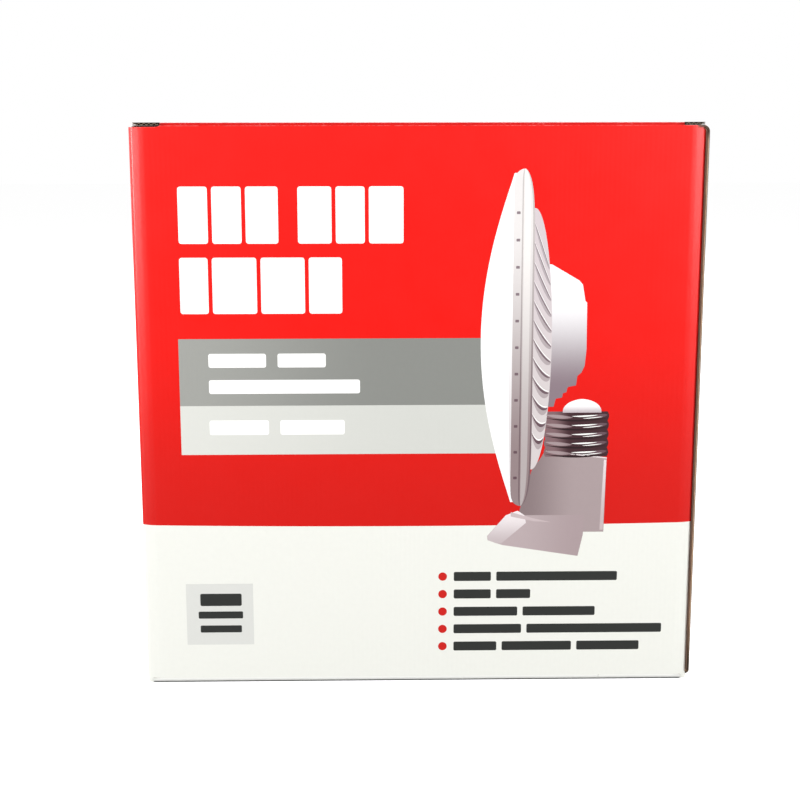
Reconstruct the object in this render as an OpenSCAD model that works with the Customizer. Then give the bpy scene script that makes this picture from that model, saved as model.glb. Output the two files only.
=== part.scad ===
// A printed corrugated carton with a tuck-in lid, standing upright.
// The front faces -Y, the floor is z = 0 and the origin is the middle of the footprint.
// The tube is one board folded round four corners and glued at the front right corner.

/* [Box] */
// Width over the outside of the side panels
box_w = 266; // [200:1:360]
// Depth over the outside of the front and back panels
box_d = 96; // [80:1:160]
// Height to the top of the closed lid
box_h = 270; // [180:1:360]

/* [Board] */
// Thickness of the corrugated board
board_t = 1.4; // [1.2:0.1:1.8]
// Distance from one flute to the next
flute_pitch = 2.3; // [2:0.1:3]
// Thickness of each flat liner
liner_t = 0.25; // [0.18:0.01:0.3]
// Thickness of the wavy paper between the liners
medium_t = 0.16; // [0.12:0.01:0.2]
// Depth of the flute mouths at a cut edge
mouth_deep = 3; // [1:0.5:6]
// Outer radius of a fold between two panels
fold_r = 3; // [2.4:0.1:3.6]

/* [Glued corner] */
// Width of the flat part of the glue tab, inside the right side panel
tab_w = 28; // [18:1:36]
// Height lost at each end of the glue tab's free edge, where it is cut aslant
tab_slant = 9; // [4:1:14]
// How far the right side panel's cut edge stands back from the front face
edge_setback = 0.3; // [0.1:0.1:0.8]

/* [Lid] */
// Space between the lid and each outer side of the box
lid_side_gap = 2.4; // [1.5:0.1:4]
// Height of the gap between the front panel's cut edge and the lid
lid_front_gap = 0.7; // [0.4:0.1:1.2]
// Width of the cut shoulder at the left end of the lid's front edge
left_shoulder = 11.6; // [7:0.2:16]
// Width of the cut shoulder at the right end of the lid's front edge
right_shoulder = 8.6; // [7:0.2:16]
// How far the shoulders stand back from the front face
shoulder_setback = 0.4; // [0.2:0.1:1]

/* [Tuck flap] */
// Length of the flat part of the tuck flap
tuck_l = 30; // [20:1:36]
// Outer radius of the fold between the lid and the tuck flap
tuck_fold_r = 2.2; // [1.8:0.1:3]
// Inward lean of the tuck flap, past what it needs to swing out clear of the front panel
lean_spare = 2; // [1:0.5:5]
// Radius of the tuck flap's two free corners
tuck_corner_r = 12; // [6:1:18]

/* [Dust flaps] */
// Length of each dust flap, from the outside of its side panel
dust_l = 58; // [40:1:80]
// Space between a dust flap and the inside of the front panel, where the tuck flap passes
dust_front_gap = 6; // [5:0.5:10]
// Narrowing of a dust flap's root, where it reaches forward beside the tuck flap
dust_root_slant = 2.5; // [1:0.5:3]
// Radius of a dust flap's free corner
dust_corner_r = 9; // [4:1:14]
// Slant of a dust flap's back edge, measured along Y
dust_slant = 14; // [6:1:22]

/* [Bottom] */
// Reach of each locking hook past the middle of the floor
hook_reach = 18; // [12:1:24]
// Reach of the stepped edge that rests on the opposite hook, past the middle
catch_reach = 6; // [3:1:10]
// Thickness of a glued triangle, which is pressed flat
glued_t = 0.7; // [0.5:0.1:1]
// Length of the small bottom flaps, from the outside of the side panels
minor_l = 44; // [34:1:46]
// Slant of a small bottom flap's back edge, measured along Y
minor_slant = 7; // [3:1:12]
// Height of the small opening at each bottom corner
corner_gap = 0.8; // [0.4:0.1:1.5]

/* [Clearances] */
// Running gap under the lid's hinge bead
hinge_gap = 0.15; // [0.1:0.05:0.3]
// Gap between the lid and the dust flaps below it
lid_rest_gap = 0.3; // [0.2:0.1:0.5]
// Gap between the tuck flap's fold and the inside of the front panel
tuck_gap = 0.3; // [0.2:0.1:0.6]
// Width of a die cut between two neighbouring flaps
cut_gap = 0.8; // [0.4:0.1:1.2]
// Gap between two flaps that only lie on each other
loose_gap = 0.1; // [0.05:0.05:0.3]

/* [Hidden] */
$fn = 48;

x_side = box_w / 2;
y_side = box_d / 2;
// Inside of the right side panel, which is also the outside of the glue tab
x_tab = x_side - board_t;

// The lid turns on a bead of the board's own thickness, above the back panel
bead_r = board_t;
hinge_y = y_side - bead_r;
hinge_z = box_h - bead_r;
back_top = hinge_z - bead_r - hinge_gap;

front_top = box_h - board_t - lid_front_gap;
dust_top = box_h - board_t - lid_rest_gap;
side_top = dust_top - fold_r;
// The side panels end higher at the floor, on the large flaps and the glued triangles
minor_z = board_t + glued_t;
side_bottom = minor_z + fold_r;
// Ends of the folds and flaps beside an upright fold
fold_end = y_side - fold_r - cut_gap;

lid_half_w = x_side - lid_side_gap;
tuck_left = left_shoulder - lid_half_w;
tuck_right = lid_half_w - right_shoulder;
tuck_face_y = board_t + tuck_gap - y_side;
swing_r = hinge_y - tuck_face_y;
tuck_lean = asin((tuck_l + tuck_fold_r) / (2 * swing_r)) + lean_spare;
tuck_arc_y = tuck_face_y + tuck_fold_r;
tuck_arc_z = box_h - tuck_fold_r;
fold_steps = 8;

print_red = [0.93, 0.17, 0.16];
// Steps along one wave of the fluting
wave_steps = 4;
// Height of the wave's middle line above and below the middle of the board
wave_h = (board_t - medium_t) / 2 - liner_t;

// A block given by its lowest and highest corners
module block(low, high) {
    translate(low)
        cube(high - low);
}

// Section of a fold: a quarter of a ring in the corner between +X and +Y
module fold_section() {
    intersection() {
        difference() {
            circle(fold_r);
            circle(fold_r - board_t);
        }
        square(fold_r);
    }
}

// A fold along X, with its centre line at y and z
module fold_along_x(from_x, to_x, y, z, turn) {
    translate([from_x, y, z])
        rotate([0, 90, 0])
            rotate(turn)
                linear_extrude(to_x - from_x)
                    fold_section();
}

// A fold along Y, with its centre line at x and z
module fold_along_y(x, from_y, to_y, z, turn) {
    translate([x, from_y, z])
        rotate([-90, 0, 0])
            rotate(turn)
                linear_extrude(to_y - from_y)
                    fold_section();
}

// An upright fold of the tube, with its centre line at x and y
module upright_fold(x, y, from_z, to_z, turn) {
    translate([x, y, from_z])
        rotate(turn)
            linear_extrude(to_z - from_z)
                fold_section();
}

// One flute's mouth: the space between the wave's middle line and one liner
module flute_mouth() {
    polygon([
        for (i = [0 : wave_steps])
            let (part = 0.09 + 0.82 * i / wave_steps)
            [(part - 0.5) * flute_pitch, wave_h * cos(360 * part) + medium_t / 2]
    ]);
}

// All flute mouths along a cut edge of the given length, above and below the wave.
// The edge runs along X from 0, the board's middle is y = 0 and the mouths go down from z = 0.
module fluted_edge(length) {
    count = floor(length / flute_pitch - 0.6);
    start = (length - count * flute_pitch) / 2;
    translate([0, 0, -mouth_deep])
        linear_extrude(mouth_deep + 1) {
            for (i = [0 : count - 1])
                translate([start + (i + 0.5) * flute_pitch, 0])
                    flute_mouth();
            for (i = [1 : count - 1])
                translate([start + i * flute_pitch, 0])
                    mirror([0, 1])
                        flute_mouth();
        }
}

// The four panels and the three plain upright folds
module tube() {
    // Front panel, up to its cut edge below the lid
    difference() {
        block([fold_r - x_side, -y_side, fold_r], [x_tab - fold_r, board_t - y_side, front_top]);
        translate([fold_r - x_side, board_t / 2 - y_side, front_top])
            fluted_edge(x_side + x_tab - 2 * fold_r);
    }
    // Back panel, up to the hinge
    block([fold_r - x_side, y_side - board_t, fold_r], [x_side - fold_r, y_side, back_top]);
    // Left side panel
    block([-x_side, fold_r - y_side, side_bottom], [board_t - x_side, y_side - fold_r, side_top]);
    // Right side panel, whose cut edge shows beside the front
    block([x_tab, edge_setback - y_side, side_bottom], [x_side, y_side - fold_r, side_top]);
    upright_fold(fold_r - x_side, fold_r - y_side, corner_gap, front_top, 180);
    upright_fold(fold_r - x_side, y_side - fold_r, corner_gap, back_top, 90);
    upright_fold(x_side - fold_r, y_side - fold_r, corner_gap, back_top, 0);
}

// The front panel's right fold and the tab behind it, glued to the side panel
module glue_tab() {
    upright_fold(x_tab - fold_r, fold_r - y_side, corner_gap, front_top, -90);
    translate([x_tab - board_t, fold_r - y_side, 0])
        rotate([90, 0, 90])
            linear_extrude(board_t)
                polygon([
                    [0, side_bottom],
                    [tab_w, side_bottom + tab_slant],
                    [tab_w, side_top - tab_slant],
                    [0, side_top]
                ]);
}

// Plan of a dust flap that starts at its fold, x = 0, and reaches along +X.
// Its root begins at root_y, beside the end of the tuck flap below that shoulder.
module dust_plan(root_y, shoulder) {
    free = dust_l - fold_r;
    front = board_t + dust_front_gap - y_side;
    root_w = lid_side_gap + shoulder - fold_r - cut_gap;
    difference() {
        polygon([
            [0, root_y],
            [root_w - dust_root_slant, root_y],
            [root_w, front],
            [free, front],
            [free, fold_end - dust_slant],
            [0, fold_end]
        ]);
        // Rounding of the free corner
        translate([free - dust_corner_r, front])
            difference() {
                square(dust_corner_r);
                translate([0, dust_corner_r])
                    circle(dust_corner_r);
            }
    }
}

// The flat part of a dust flap, with flute mouths in its free end
module dust_flap(root_y, shoulder) {
    end_y = board_t + dust_front_gap - y_side + dust_corner_r;
    difference() {
        linear_extrude(board_t)
            dust_plan(root_y, shoulder);
        translate([dust_l - fold_r, end_y, board_t / 2])
            rotate([90, 0, 90])
                fluted_edge(fold_end - dust_slant - end_y);
    }
}

// Both dust flaps, with the folds that join them to the side panels
module dust_flaps() {
    left_root = fold_r + cut_gap - y_side;
    right_root = edge_setback - y_side;
    fold_along_y(fold_r - x_side, left_root, fold_end, side_top, 180);
    fold_along_y(x_side - fold_r, right_root, fold_end, side_top, -90);
    translate([fold_r - x_side, 0, dust_top - board_t])
        dust_flap(left_root, left_shoulder);
    translate([x_side - fold_r, 0, dust_top - board_t])
        mirror([1, 0, 0])
            dust_flap(right_root, right_shoulder);
}

// The front's large bottom flap. Its left half ends in a hook that reaches past the
// middle, and its right half steps up over the hook of the flap that faces it.
module major_flap(fold_right) {
    hook_end = minor_l - x_side + cut_gap;
    step_y = -hook_reach - cut_gap;
    lift = board_t + loose_gap;
    fold_along_x(fold_r - x_side, fold_right, fold_r - y_side, fold_r, -90);
    // Left end, short of the middle
    block([fold_r - x_side, fold_r - y_side, 0], [hook_end, -cut_gap / 2, board_t]);
    // Hook
    block([hook_end, fold_r - y_side, 0], [-cut_gap / 2, hook_reach, board_t]);
    // Stepped half: flat, then up the slope, then over the other flap's hook
    translate([-cut_gap / 2, 0, 0])
        rotate([90, 0, 90])
            linear_extrude(cut_gap / 2 - hook_end)
                polygon([
                    [fold_r - y_side, 0],
                    [step_y - lift, 0],
                    [step_y, lift],
                    [catch_reach, lift],
                    [catch_reach, lift + board_t],
                    [step_y - board_t / 2, lift + board_t],
                    [step_y - lift - board_t / 2, board_t],
                    [fold_r - y_side, board_t]
                ]);
    // Right end, short of the middle
    block([-hook_end, fold_r - y_side, 0], [fold_right, -cut_gap / 2, board_t]);
}

// The right side's small bottom flap and the triangle folded under it along its
// diagonal, which is glued to the large flap below
module minor_flap(root_y) {
    root_x = x_side - fold_r;
    reach = minor_l - fold_r;
    root_front = fold_r - y_side;
    fold_along_y(root_x, root_y, fold_end, side_bottom, 0);
    translate([0, 0, minor_z])
        linear_extrude(board_t)
            polygon([
                [root_x, root_front],
                [root_x - reach, root_front + reach],
                [root_x - reach, fold_end - minor_slant],
                [root_x, fold_end]
            ]);
    translate([0, 0, board_t])
        linear_extrude(glued_t)
            polygon([
                [root_x, root_front],
                [root_x - reach, root_front + reach],
                [root_x, root_front + reach]
            ]);
}

// The bottom, locked and glued: both ends are the same, half a turn apart
module bottom() {
    major_flap(x_tab - fold_r);
    rotate(180)
        major_flap(x_side - fold_r);
    minor_flap(edge_setback - y_side);
    rotate(180)
        minor_flap(fold_r + cut_gap - y_side);
}

module carton() {
    color(print_red) {
        tube();
        glue_tab();
        dust_flaps();
        bottom();
    }
}

// Plan of the flat lid: its shoulders reach the front on both sides of the tuck flap
module lid_plan() {
    shoulder_y = shoulder_setback - y_side;
    polygon([
        [-lid_half_w, shoulder_y],
        [tuck_left, shoulder_y],
        [tuck_left, tuck_arc_y],
        [tuck_right, tuck_arc_y],
        [tuck_right, shoulder_y],
        [lid_half_w, shoulder_y],
        [lid_half_w, hinge_y],
        [-lid_half_w, hinge_y]
    ]);
}

// Point of the tuck flap's section at an angle of its fold and a given radius
function tuck_arc(angle, r) = [tuck_arc_y + r * cos(angle), tuck_arc_z + r * sin(angle)];

// Point of the tuck flap's section at its free edge, on the face of the given radius
function tuck_tip(r) = tuck_arc(180 + tuck_lean, r) + tuck_l * [sin(tuck_lean), -cos(tuck_lean)];

// Section of the tuck flap in Y and Z: its fold, then the flat part that leans inwards
module tuck_section() {
    sweep = 90 + tuck_lean;
    inner_r = tuck_fold_r - board_t;
    polygon(concat(
        [for (i = [0 : fold_steps]) tuck_arc(90 + sweep * i / fold_steps, tuck_fold_r)],
        [tuck_tip(tuck_fold_r), tuck_tip(inner_r)],
        [for (i = [fold_steps : -1 : 0]) tuck_arc(90 + sweep * i / fold_steps, inner_r)]
    ));
}

// The tuck flap's outline: its free corners are rounded
module tuck_board(left, width) {
    tip_z = min(tuck_tip(tuck_fold_r)[1], tuck_tip(tuck_fold_r - board_t)[1]);
    corner_z = tip_z + tuck_corner_r;
    intersection() {
        translate([left, 0, 0])
            rotate([90, 0, 90])
                linear_extrude(width)
                    tuck_section();
        translate([left, y_side, 0])
            rotate([90, 0, 0])
                linear_extrude(box_d) {
                    translate([0, corner_z])
                        square([width, box_h - corner_z + 1]);
                    translate([tuck_corner_r, tip_z - 1])
                        square([width - 2 * tuck_corner_r, box_h - tip_z + 2]);
                    for (x = [tuck_corner_r, width - tuck_corner_r])
                        translate([x, corner_z])
                            circle(tuck_corner_r);
                }
    }
}

// The tuck flap, with flute mouths in its free edge
module tuck_flap() {
    left = tuck_left + cut_gap / 2;
    width = tuck_right - tuck_left - cut_gap;
    tip = tuck_tip(tuck_fold_r - board_t / 2);
    difference() {
        tuck_board(left, width);
        translate([left + tuck_corner_r, tip[0], tip[1]])
            rotate([180 + tuck_lean, 0, 0])
                fluted_edge(width - 2 * tuck_corner_r);
    }
}

module lid() {
    color(print_red)
        difference() {
            union() {
                translate([0, 0, box_h - board_t])
                    linear_extrude(board_t)
                        lid_plan();
                tuck_flap();
                translate([-lid_half_w, hinge_y, hinge_z])
                    rotate([0, 90, 0])
                        cylinder(h = 2 * lid_half_w, r = bead_r);
            }
            // Flute mouths in the cut shoulders
            for (side = [[-lid_half_w, left_shoulder], [tuck_right, right_shoulder]])
                translate([side[0], shoulder_setback - y_side, box_h - board_t / 2])
                    rotate([90, 0, 0])
                        fluted_edge(side[1]);
        }
}

carton();
lid();
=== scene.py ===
"""A printed corrugated carton with a tuck-in lid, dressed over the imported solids.

Every piece of board is one fold path carried along a third direction between two cut edges.
It has three layers: a printed liner outside, a wave of thin paper and a kraft liner inside.
The print on the front is a set of thin flat patches. All lengths are in metres.
"""

import logging
import math
from collections.abc import Callable, Sequence
from dataclasses import dataclass, field, replace
from enum import Enum

import bmesh
import bpy
import numpy as np
from mathutils import Matrix, Vector


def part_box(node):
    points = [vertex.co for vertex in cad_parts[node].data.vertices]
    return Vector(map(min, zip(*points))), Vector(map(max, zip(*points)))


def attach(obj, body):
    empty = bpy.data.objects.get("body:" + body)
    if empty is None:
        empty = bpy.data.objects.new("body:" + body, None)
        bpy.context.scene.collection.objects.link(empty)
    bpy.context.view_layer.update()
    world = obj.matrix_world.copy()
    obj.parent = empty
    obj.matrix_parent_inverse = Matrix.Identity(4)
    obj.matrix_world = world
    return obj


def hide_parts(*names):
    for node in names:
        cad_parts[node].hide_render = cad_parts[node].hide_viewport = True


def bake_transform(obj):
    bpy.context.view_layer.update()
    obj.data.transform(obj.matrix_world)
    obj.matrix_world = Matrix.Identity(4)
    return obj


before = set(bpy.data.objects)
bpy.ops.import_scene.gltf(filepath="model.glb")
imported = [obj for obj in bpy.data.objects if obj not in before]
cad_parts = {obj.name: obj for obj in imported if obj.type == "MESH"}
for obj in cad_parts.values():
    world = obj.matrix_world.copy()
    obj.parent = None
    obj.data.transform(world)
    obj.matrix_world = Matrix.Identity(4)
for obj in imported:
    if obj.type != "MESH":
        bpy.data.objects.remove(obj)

log = logging.getLogger("carton")

MM = 0.001
# Half the distance between the two samples on either side of a step in a cut edge
EPS = 0.005 * MM
# Slack in comparing arc lengths, and the decimals kept of one
SLACK = 1e-12
DECIMALS = 9
# Points closer than this are joined into one
WELD = 1e-7
# Edges that turn more than this stay sharp
SHARP = math.radians(32.0)
# Thickness of one film of ink
FILM = 0.011 * MM

Colour = tuple[float, float, float]
Curve = Callable[[np.ndarray], np.ndarray]
Field = Callable[[np.ndarray, np.ndarray], np.ndarray]
Socket = bpy.types.NodeSocket
Material = bpy.types.Material


@dataclass(frozen=True)
class Sizes:
    """The carton's main sizes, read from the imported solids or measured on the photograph."""

    side_x: float
    side_y: float
    top: float
    thick: float = 1.4 * MM
    fold_r: float = 3.0 * MM
    pitch: float = 2.3 * MM
    printed_liner: float = 0.32 * MM
    kraft_liner: float = 0.22 * MM
    face_inset: float = 0.06 * MM
    edge_setback: float = 0.3 * MM
    lid_front_gap: float = 0.12 * MM
    lid_rest_gap: float = 0.04 * MM
    lid_side_gap: float = 2.4 * MM
    left_shoulder: float = 11.6 * MM
    right_shoulder: float = 8.6 * MM
    shoulder_setback: float = 0.4 * MM
    tuck_l: float = 30.0 * MM
    tuck_fold_r: float = 2.2 * MM
    tuck_gap: float = 0.3 * MM
    lean_spare: float = math.radians(2.0)
    tuck_corner_r: float = 12.0 * MM
    dust_l: float = 58.0 * MM
    dust_front_gap: float = 6.0 * MM
    dust_corner_r: float = 9.0 * MM
    dust_slant: float = 14.0 * MM
    dust_root_slant: float = 2.5 * MM
    hook_reach: float = 18.0 * MM
    catch_reach: float = 6.0 * MM
    glued_t: float = 0.7 * MM
    minor_l: float = 44.0 * MM
    minor_slant: float = 7.0 * MM
    corner_gap: float = 0.8 * MM
    tab_w: float = 28.0 * MM
    tab_slant: float = 9.0 * MM
    cut_gap: float = 0.8 * MM
    loose_gap: float = 0.1 * MM
    hinge_gap: float = 0.15 * MM
    lid_tail: float = 4.6 * MM
    tail_joint: float = 4.0 * MM

    @property
    def tab_x(self) -> float:
        """Outer face of the glue tab, on the inside of the right side panel."""
        return self.side_x - self.thick

    @property
    def hinge_y(self) -> float:
        """Y of the lid's hinge axis."""
        return self.side_y - self.thick

    @property
    def hinge_z(self) -> float:
        """Z of the lid's hinge axis."""
        return self.top - self.thick

    @property
    def tail_end(self) -> float:
        """Height at which the lid's print goes on down the back panel's print."""
        return self.hinge_z - self.lid_tail

    @property
    def back_top(self) -> float:
        """Height at which the back panel's board ends, under the hinge."""
        return self.hinge_z - self.thick - self.hinge_gap

    @property
    def front_top(self) -> float:
        """Height of the front panel's cut edge."""
        return self.top - self.thick - self.lid_front_gap

    @property
    def dust_top(self) -> float:
        """Height of the dust flaps' upper face."""
        return self.top - self.thick - self.lid_rest_gap

    @property
    def panel_top(self) -> float:
        """Height at which the side panels begin to fold into the dust flaps."""
        return self.dust_top - self.fold_r

    @property
    def minor_z(self) -> float:
        """Underside of the small bottom flaps."""
        return self.thick + self.glued_t

    @property
    def panel_bottom(self) -> float:
        """Height at which the side panels begin to fold into the small bottom flaps."""
        return self.minor_z + self.fold_r

    @property
    def fold_end(self) -> float:
        """Y at which the flaps beside the back end."""
        return self.side_y - self.fold_r - self.cut_gap

    @property
    def lid_half(self) -> float:
        """Half of the lid's width."""
        return self.side_x - self.lid_side_gap

    @property
    def tuck_left(self) -> float:
        """X at which the left shoulder ends."""
        return self.left_shoulder - self.lid_half

    @property
    def tuck_right(self) -> float:
        """X at which the right shoulder ends."""
        return self.lid_half - self.right_shoulder

    @property
    def tuck_face_y(self) -> float:
        """Y of the foremost line of the tuck flap's fold."""
        return self.thick + self.tuck_gap - self.side_y

    @property
    def tuck_lean(self) -> float:
        """Inward lean of the tuck flap, in radians, which lets it swing out past the front."""
        swing = self.hinge_y - self.tuck_face_y
        return math.asin((self.tuck_l + self.tuck_fold_r) / (2.0 * swing)) + self.lean_spare


class View(Enum):
    """The plane in which a fold path is drawn: its two axes, then the axis it is carried along."""

    PLAN = (0, 1, 2)
    SIDE = (1, 2, 0)
    FRONT = (0, 2, 1)

    @property
    def turns_left(self) -> bool:
        """True where the three axes in this order are right-handed."""
        return self is not View.FRONT


class Flutes(Enum):
    """How the flutes lie on a strip."""

    ACROSS_PATH = "the wave runs along the fold path"
    ALONG_PATH = "the wave runs along the third direction"


@dataclass(frozen=True)
class Segment:
    """One straight or round stretch of a fold path."""

    start: float
    length: float
    origin: tuple[float, float]
    heading: float
    curvature: float


@dataclass
class FoldPath:
    """The outer face of folded board, drawn in one plane with its outside to the right.

    The path starts at origin and runs along heading, in radians. Each bend turns left.
    """

    origin: tuple[float, float]
    heading: float
    segments: list[Segment] = field(default_factory=list)

    @property
    def length(self) -> float:
        """Arc length of the path so far."""
        return self.segments[-1].start + self.segments[-1].length if self.segments else 0.0

    def _add(self, length: float, curvature: float) -> "FoldPath":
        """Adds a stretch at the path's end.

        Args:
            length: Its length.
            curvature: One over its radius, or 0 where it is straight.

        Returns:
            The path itself.
        """
        if self.segments:
            point, normal = self.at(np.array([self.length]))
            origin = (float(point[0, 0]), float(point[0, 1]))
            heading = math.atan2(normal[0, 0], -normal[0, 1])
        else:
            origin, heading = self.origin, self.heading
        self.segments.append(Segment(self.length, length, origin, heading, curvature))
        return self

    def run(self, length: float) -> "FoldPath":
        """Adds a straight stretch."""
        return self._add(length, 0.0)

    def bend(self, radius: float, angle: float = math.pi / 2) -> "FoldPath":
        """Adds a left bend whose outer face has the given radius."""
        return self._add(radius * angle, 1.0 / radius)

    def at(self, s: np.ndarray) -> tuple[np.ndarray, np.ndarray]:
        """Works out points and outward normals along the path.

        On a straight stretch a point is origin + l h. On a bend of curvature k it is
        origin + (sin(a + k l) - sin a, cos a - cos(a + k l)) / k, where a is the heading.

        Args:
            s: Arc lengths.

        Returns:
            The points and the normals, one row each.
        """
        points, normals = np.empty((len(s), 2)), np.empty((len(s), 2))
        for part in self.segments:
            m = s >= part.start - SLACK
            run = np.minimum(s[m] - part.start, part.length)
            turn = part.heading + part.curvature * run
            if part.curvature:
                step = np.stack(
                    [np.sin(turn) - math.sin(part.heading), math.cos(part.heading) - np.cos(turn)], -1
                ) / part.curvature
            else:
                step = run[:, None] * np.array([math.cos(part.heading), math.sin(part.heading)])
            points[m] = np.array(part.origin) + step
            normals[m] = np.stack([np.sin(turn), -np.cos(turn)], -1)
        return points, normals

    def samples(self, step: float, bend_steps: int = 8, extra: Sequence[float] = ()) -> np.ndarray:
        """Arc lengths to sample the path at.

        Args:
            step: Longest distance between samples on a straight stretch.
            bend_steps: Number of steps round each bend.
            extra: Further arc lengths that must be sampled, with a close pair at each.

        Returns:
            The sorted arc lengths.
        """
        parts = []
        for part in self.segments:
            count = bend_steps if part.curvature else max(2, math.ceil(part.length / step))
            parts.append(part.start + np.linspace(0.0, part.length, count + 1))
        for value in extra:
            parts.append(np.array([value - EPS, value + EPS]))
        s = np.unique(np.round(np.concatenate(parts), DECIMALS))
        return s[(s >= 0.0) & (s <= self.length)]


def stepped(knots: Sequence[tuple[float, float, float]]) -> Curve:
    """A cut edge that is straight on each stretch and jumps where two stretches meet.

    Args:
        knots: For each stretch, the arc length where it ends and the edge's place at both ends.

    Returns:
        The edge's place as a function of arc length.
    """
    xs: list[float] = []
    ys: list[float] = []
    start = 0.0
    for end, first, last in knots:
        xs += [start + (EPS if xs else 0.0), end - EPS]
        ys += [first, last]
        start = end
    return lambda s: np.interp(s, xs, ys)


def level(value: float) -> Curve:
    """A cut edge that is straight and parallel to the fold path."""
    return lambda s: np.full_like(s, value)


def corner(s: np.ndarray, end: float, radius: float) -> np.ndarray:
    """How far a round corner at the path's end cuts in: r - sqrt(r^2 - x^2), x from its start."""
    x = np.clip(s - (end - radius), 0.0, radius)
    return radius - np.sqrt(np.maximum(radius**2 - x**2, 0.0))


@dataclass
class Shell:
    """A closed thin solid between two grids of points, with the region of each face."""

    points: np.ndarray
    faces: np.ndarray
    regions: np.ndarray
    uv: np.ndarray
    wear: np.ndarray

    @classmethod
    def between(
        cls,
        outer: np.ndarray,
        inner: np.ndarray,
        uv: np.ndarray,
        flip: bool,
        wear: np.ndarray | None = None,
    ) -> "Shell":
        """Joins two grids of the same size into a closed shell.

        Quads span the outer grid, the inner grid turned over, and the four borders between them.

        Args:
            outer: Points of the outer face, rows x columns x 3.
            inner: Points of the inner face.
            uv: Distance across and along the flutes, rows x columns x 2.
            flip: Turns every face over.
            wear: How rubbed the board is, from 0 to 1, rows x columns; none where it is left out.

        Returns:
            The shell, with region 0 outside, 1 inside and 2 on the cut edges.
        """
        rows, cols = outer.shape[:2]
        o = np.arange(rows * cols).reshape(rows, cols)
        n = o + rows * cols

        def quads(*corners: np.ndarray) -> np.ndarray:
            """Stacks four index grids into a list of quads."""
            return np.stack(corners, -1).reshape(-1, 4)

        out = quads(o[:-1, :-1], o[1:, :-1], o[1:, 1:], o[:-1, 1:])
        back = quads(n[:-1, :-1], n[:-1, 1:], n[1:, 1:], n[1:, :-1])
        rims = np.concatenate([
            quads(o[:-1, 0], n[:-1, 0], n[1:, 0], o[1:, 0]),
            quads(o[1:, -1], n[1:, -1], n[:-1, -1], o[:-1, -1]),
            quads(o[0, 1:], n[0, 1:], n[0, :-1], o[0, :-1]),
            quads(o[-1, :-1], n[-1, :-1], n[-1, 1:], o[-1, 1:]),
        ])
        faces = np.concatenate([out, back, rims])
        regions = np.repeat([0, 1, 2], [len(out), len(back), len(rims)])
        points = np.concatenate([outer.reshape(-1, 3), inner.reshape(-1, 3)])
        both = np.concatenate([uv.reshape(-1, 2)] * 2)
        rubbed = np.zeros(rows * cols) if wear is None else wear.reshape(-1)
        return cls(points, faces[:, ::-1] if flip else faces, regions, both, np.concatenate([rubbed] * 2))

    def half_turn(self) -> "Shell":
        """The same shell turned half round about the Z axis."""
        turned = self.points * np.array([-1.0, -1.0, 1.0])
        return Shell(turned, self.faces, self.regions, self.uv, self.wear)


def add_piece(
    name: str,
    shells: Sequence[Shell],
    finishes: Sequence[Material],
    body: str | None,
) -> bpy.types.Object:
    """Puts shells into one mesh object at the origin and rides it on its body.

    Args:
        name: The piece's name.
        shells: The closed shells it is made of.
        finishes: Materials by region; the last one serves the regions after it.
        body: The CAD body that carries it, or None for a piece that rides on no body.

    Returns:
        The new object.
    """
    offsets = np.cumsum([0] + [len(s.points) for s in shells[:-1]])
    points = np.concatenate([s.points for s in shells]).astype(np.float32)
    faces = np.concatenate([s.faces + at for s, at in zip(shells, offsets)]).astype(np.int32)
    regions = np.minimum(np.concatenate([s.regions for s in shells]), len(finishes) - 1)
    uv = np.concatenate([s.uv for s in shells]).astype(np.float32)

    mesh = bpy.data.meshes.new(name)
    mesh.vertices.add(len(points))
    mesh.vertices.foreach_set("co", points.ravel())
    mesh.loops.add(faces.size)
    mesh.loops.foreach_set("vertex_index", faces.ravel())
    mesh.polygons.add(len(faces))
    mesh.polygons.foreach_set("loop_start", np.arange(0, faces.size, 4, dtype=np.int32))
    mesh.polygons.foreach_set("material_index", regions.astype(np.int32))
    mesh.update(calc_edges=True)
    mesh.uv_layers.new(name="flutes").uv.foreach_set("vector", uv[faces.ravel()].ravel())
    rubbed = np.concatenate([s.wear for s in shells]).astype(np.float32)
    mesh.attributes.new("wear", "FLOAT", "POINT").data.foreach_set("value", rubbed)
    for finish in finishes:
        mesh.materials.append(finish)
    shape = bmesh.new()
    shape.from_mesh(mesh)
    bmesh.ops.remove_doubles(shape, verts=shape.verts, dist=WELD)
    shape.to_mesh(mesh)
    shape.free()
    mesh.shade_smooth()
    mesh.set_sharp_from_angle(angle=SHARP)
    piece = bpy.data.objects.new(name, mesh)
    bpy.context.scene.collection.objects.link(piece)
    if body is not None:
        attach(piece, body)
    log.info("%s: %d faces", name, len(mesh.polygons))
    return piece


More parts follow.
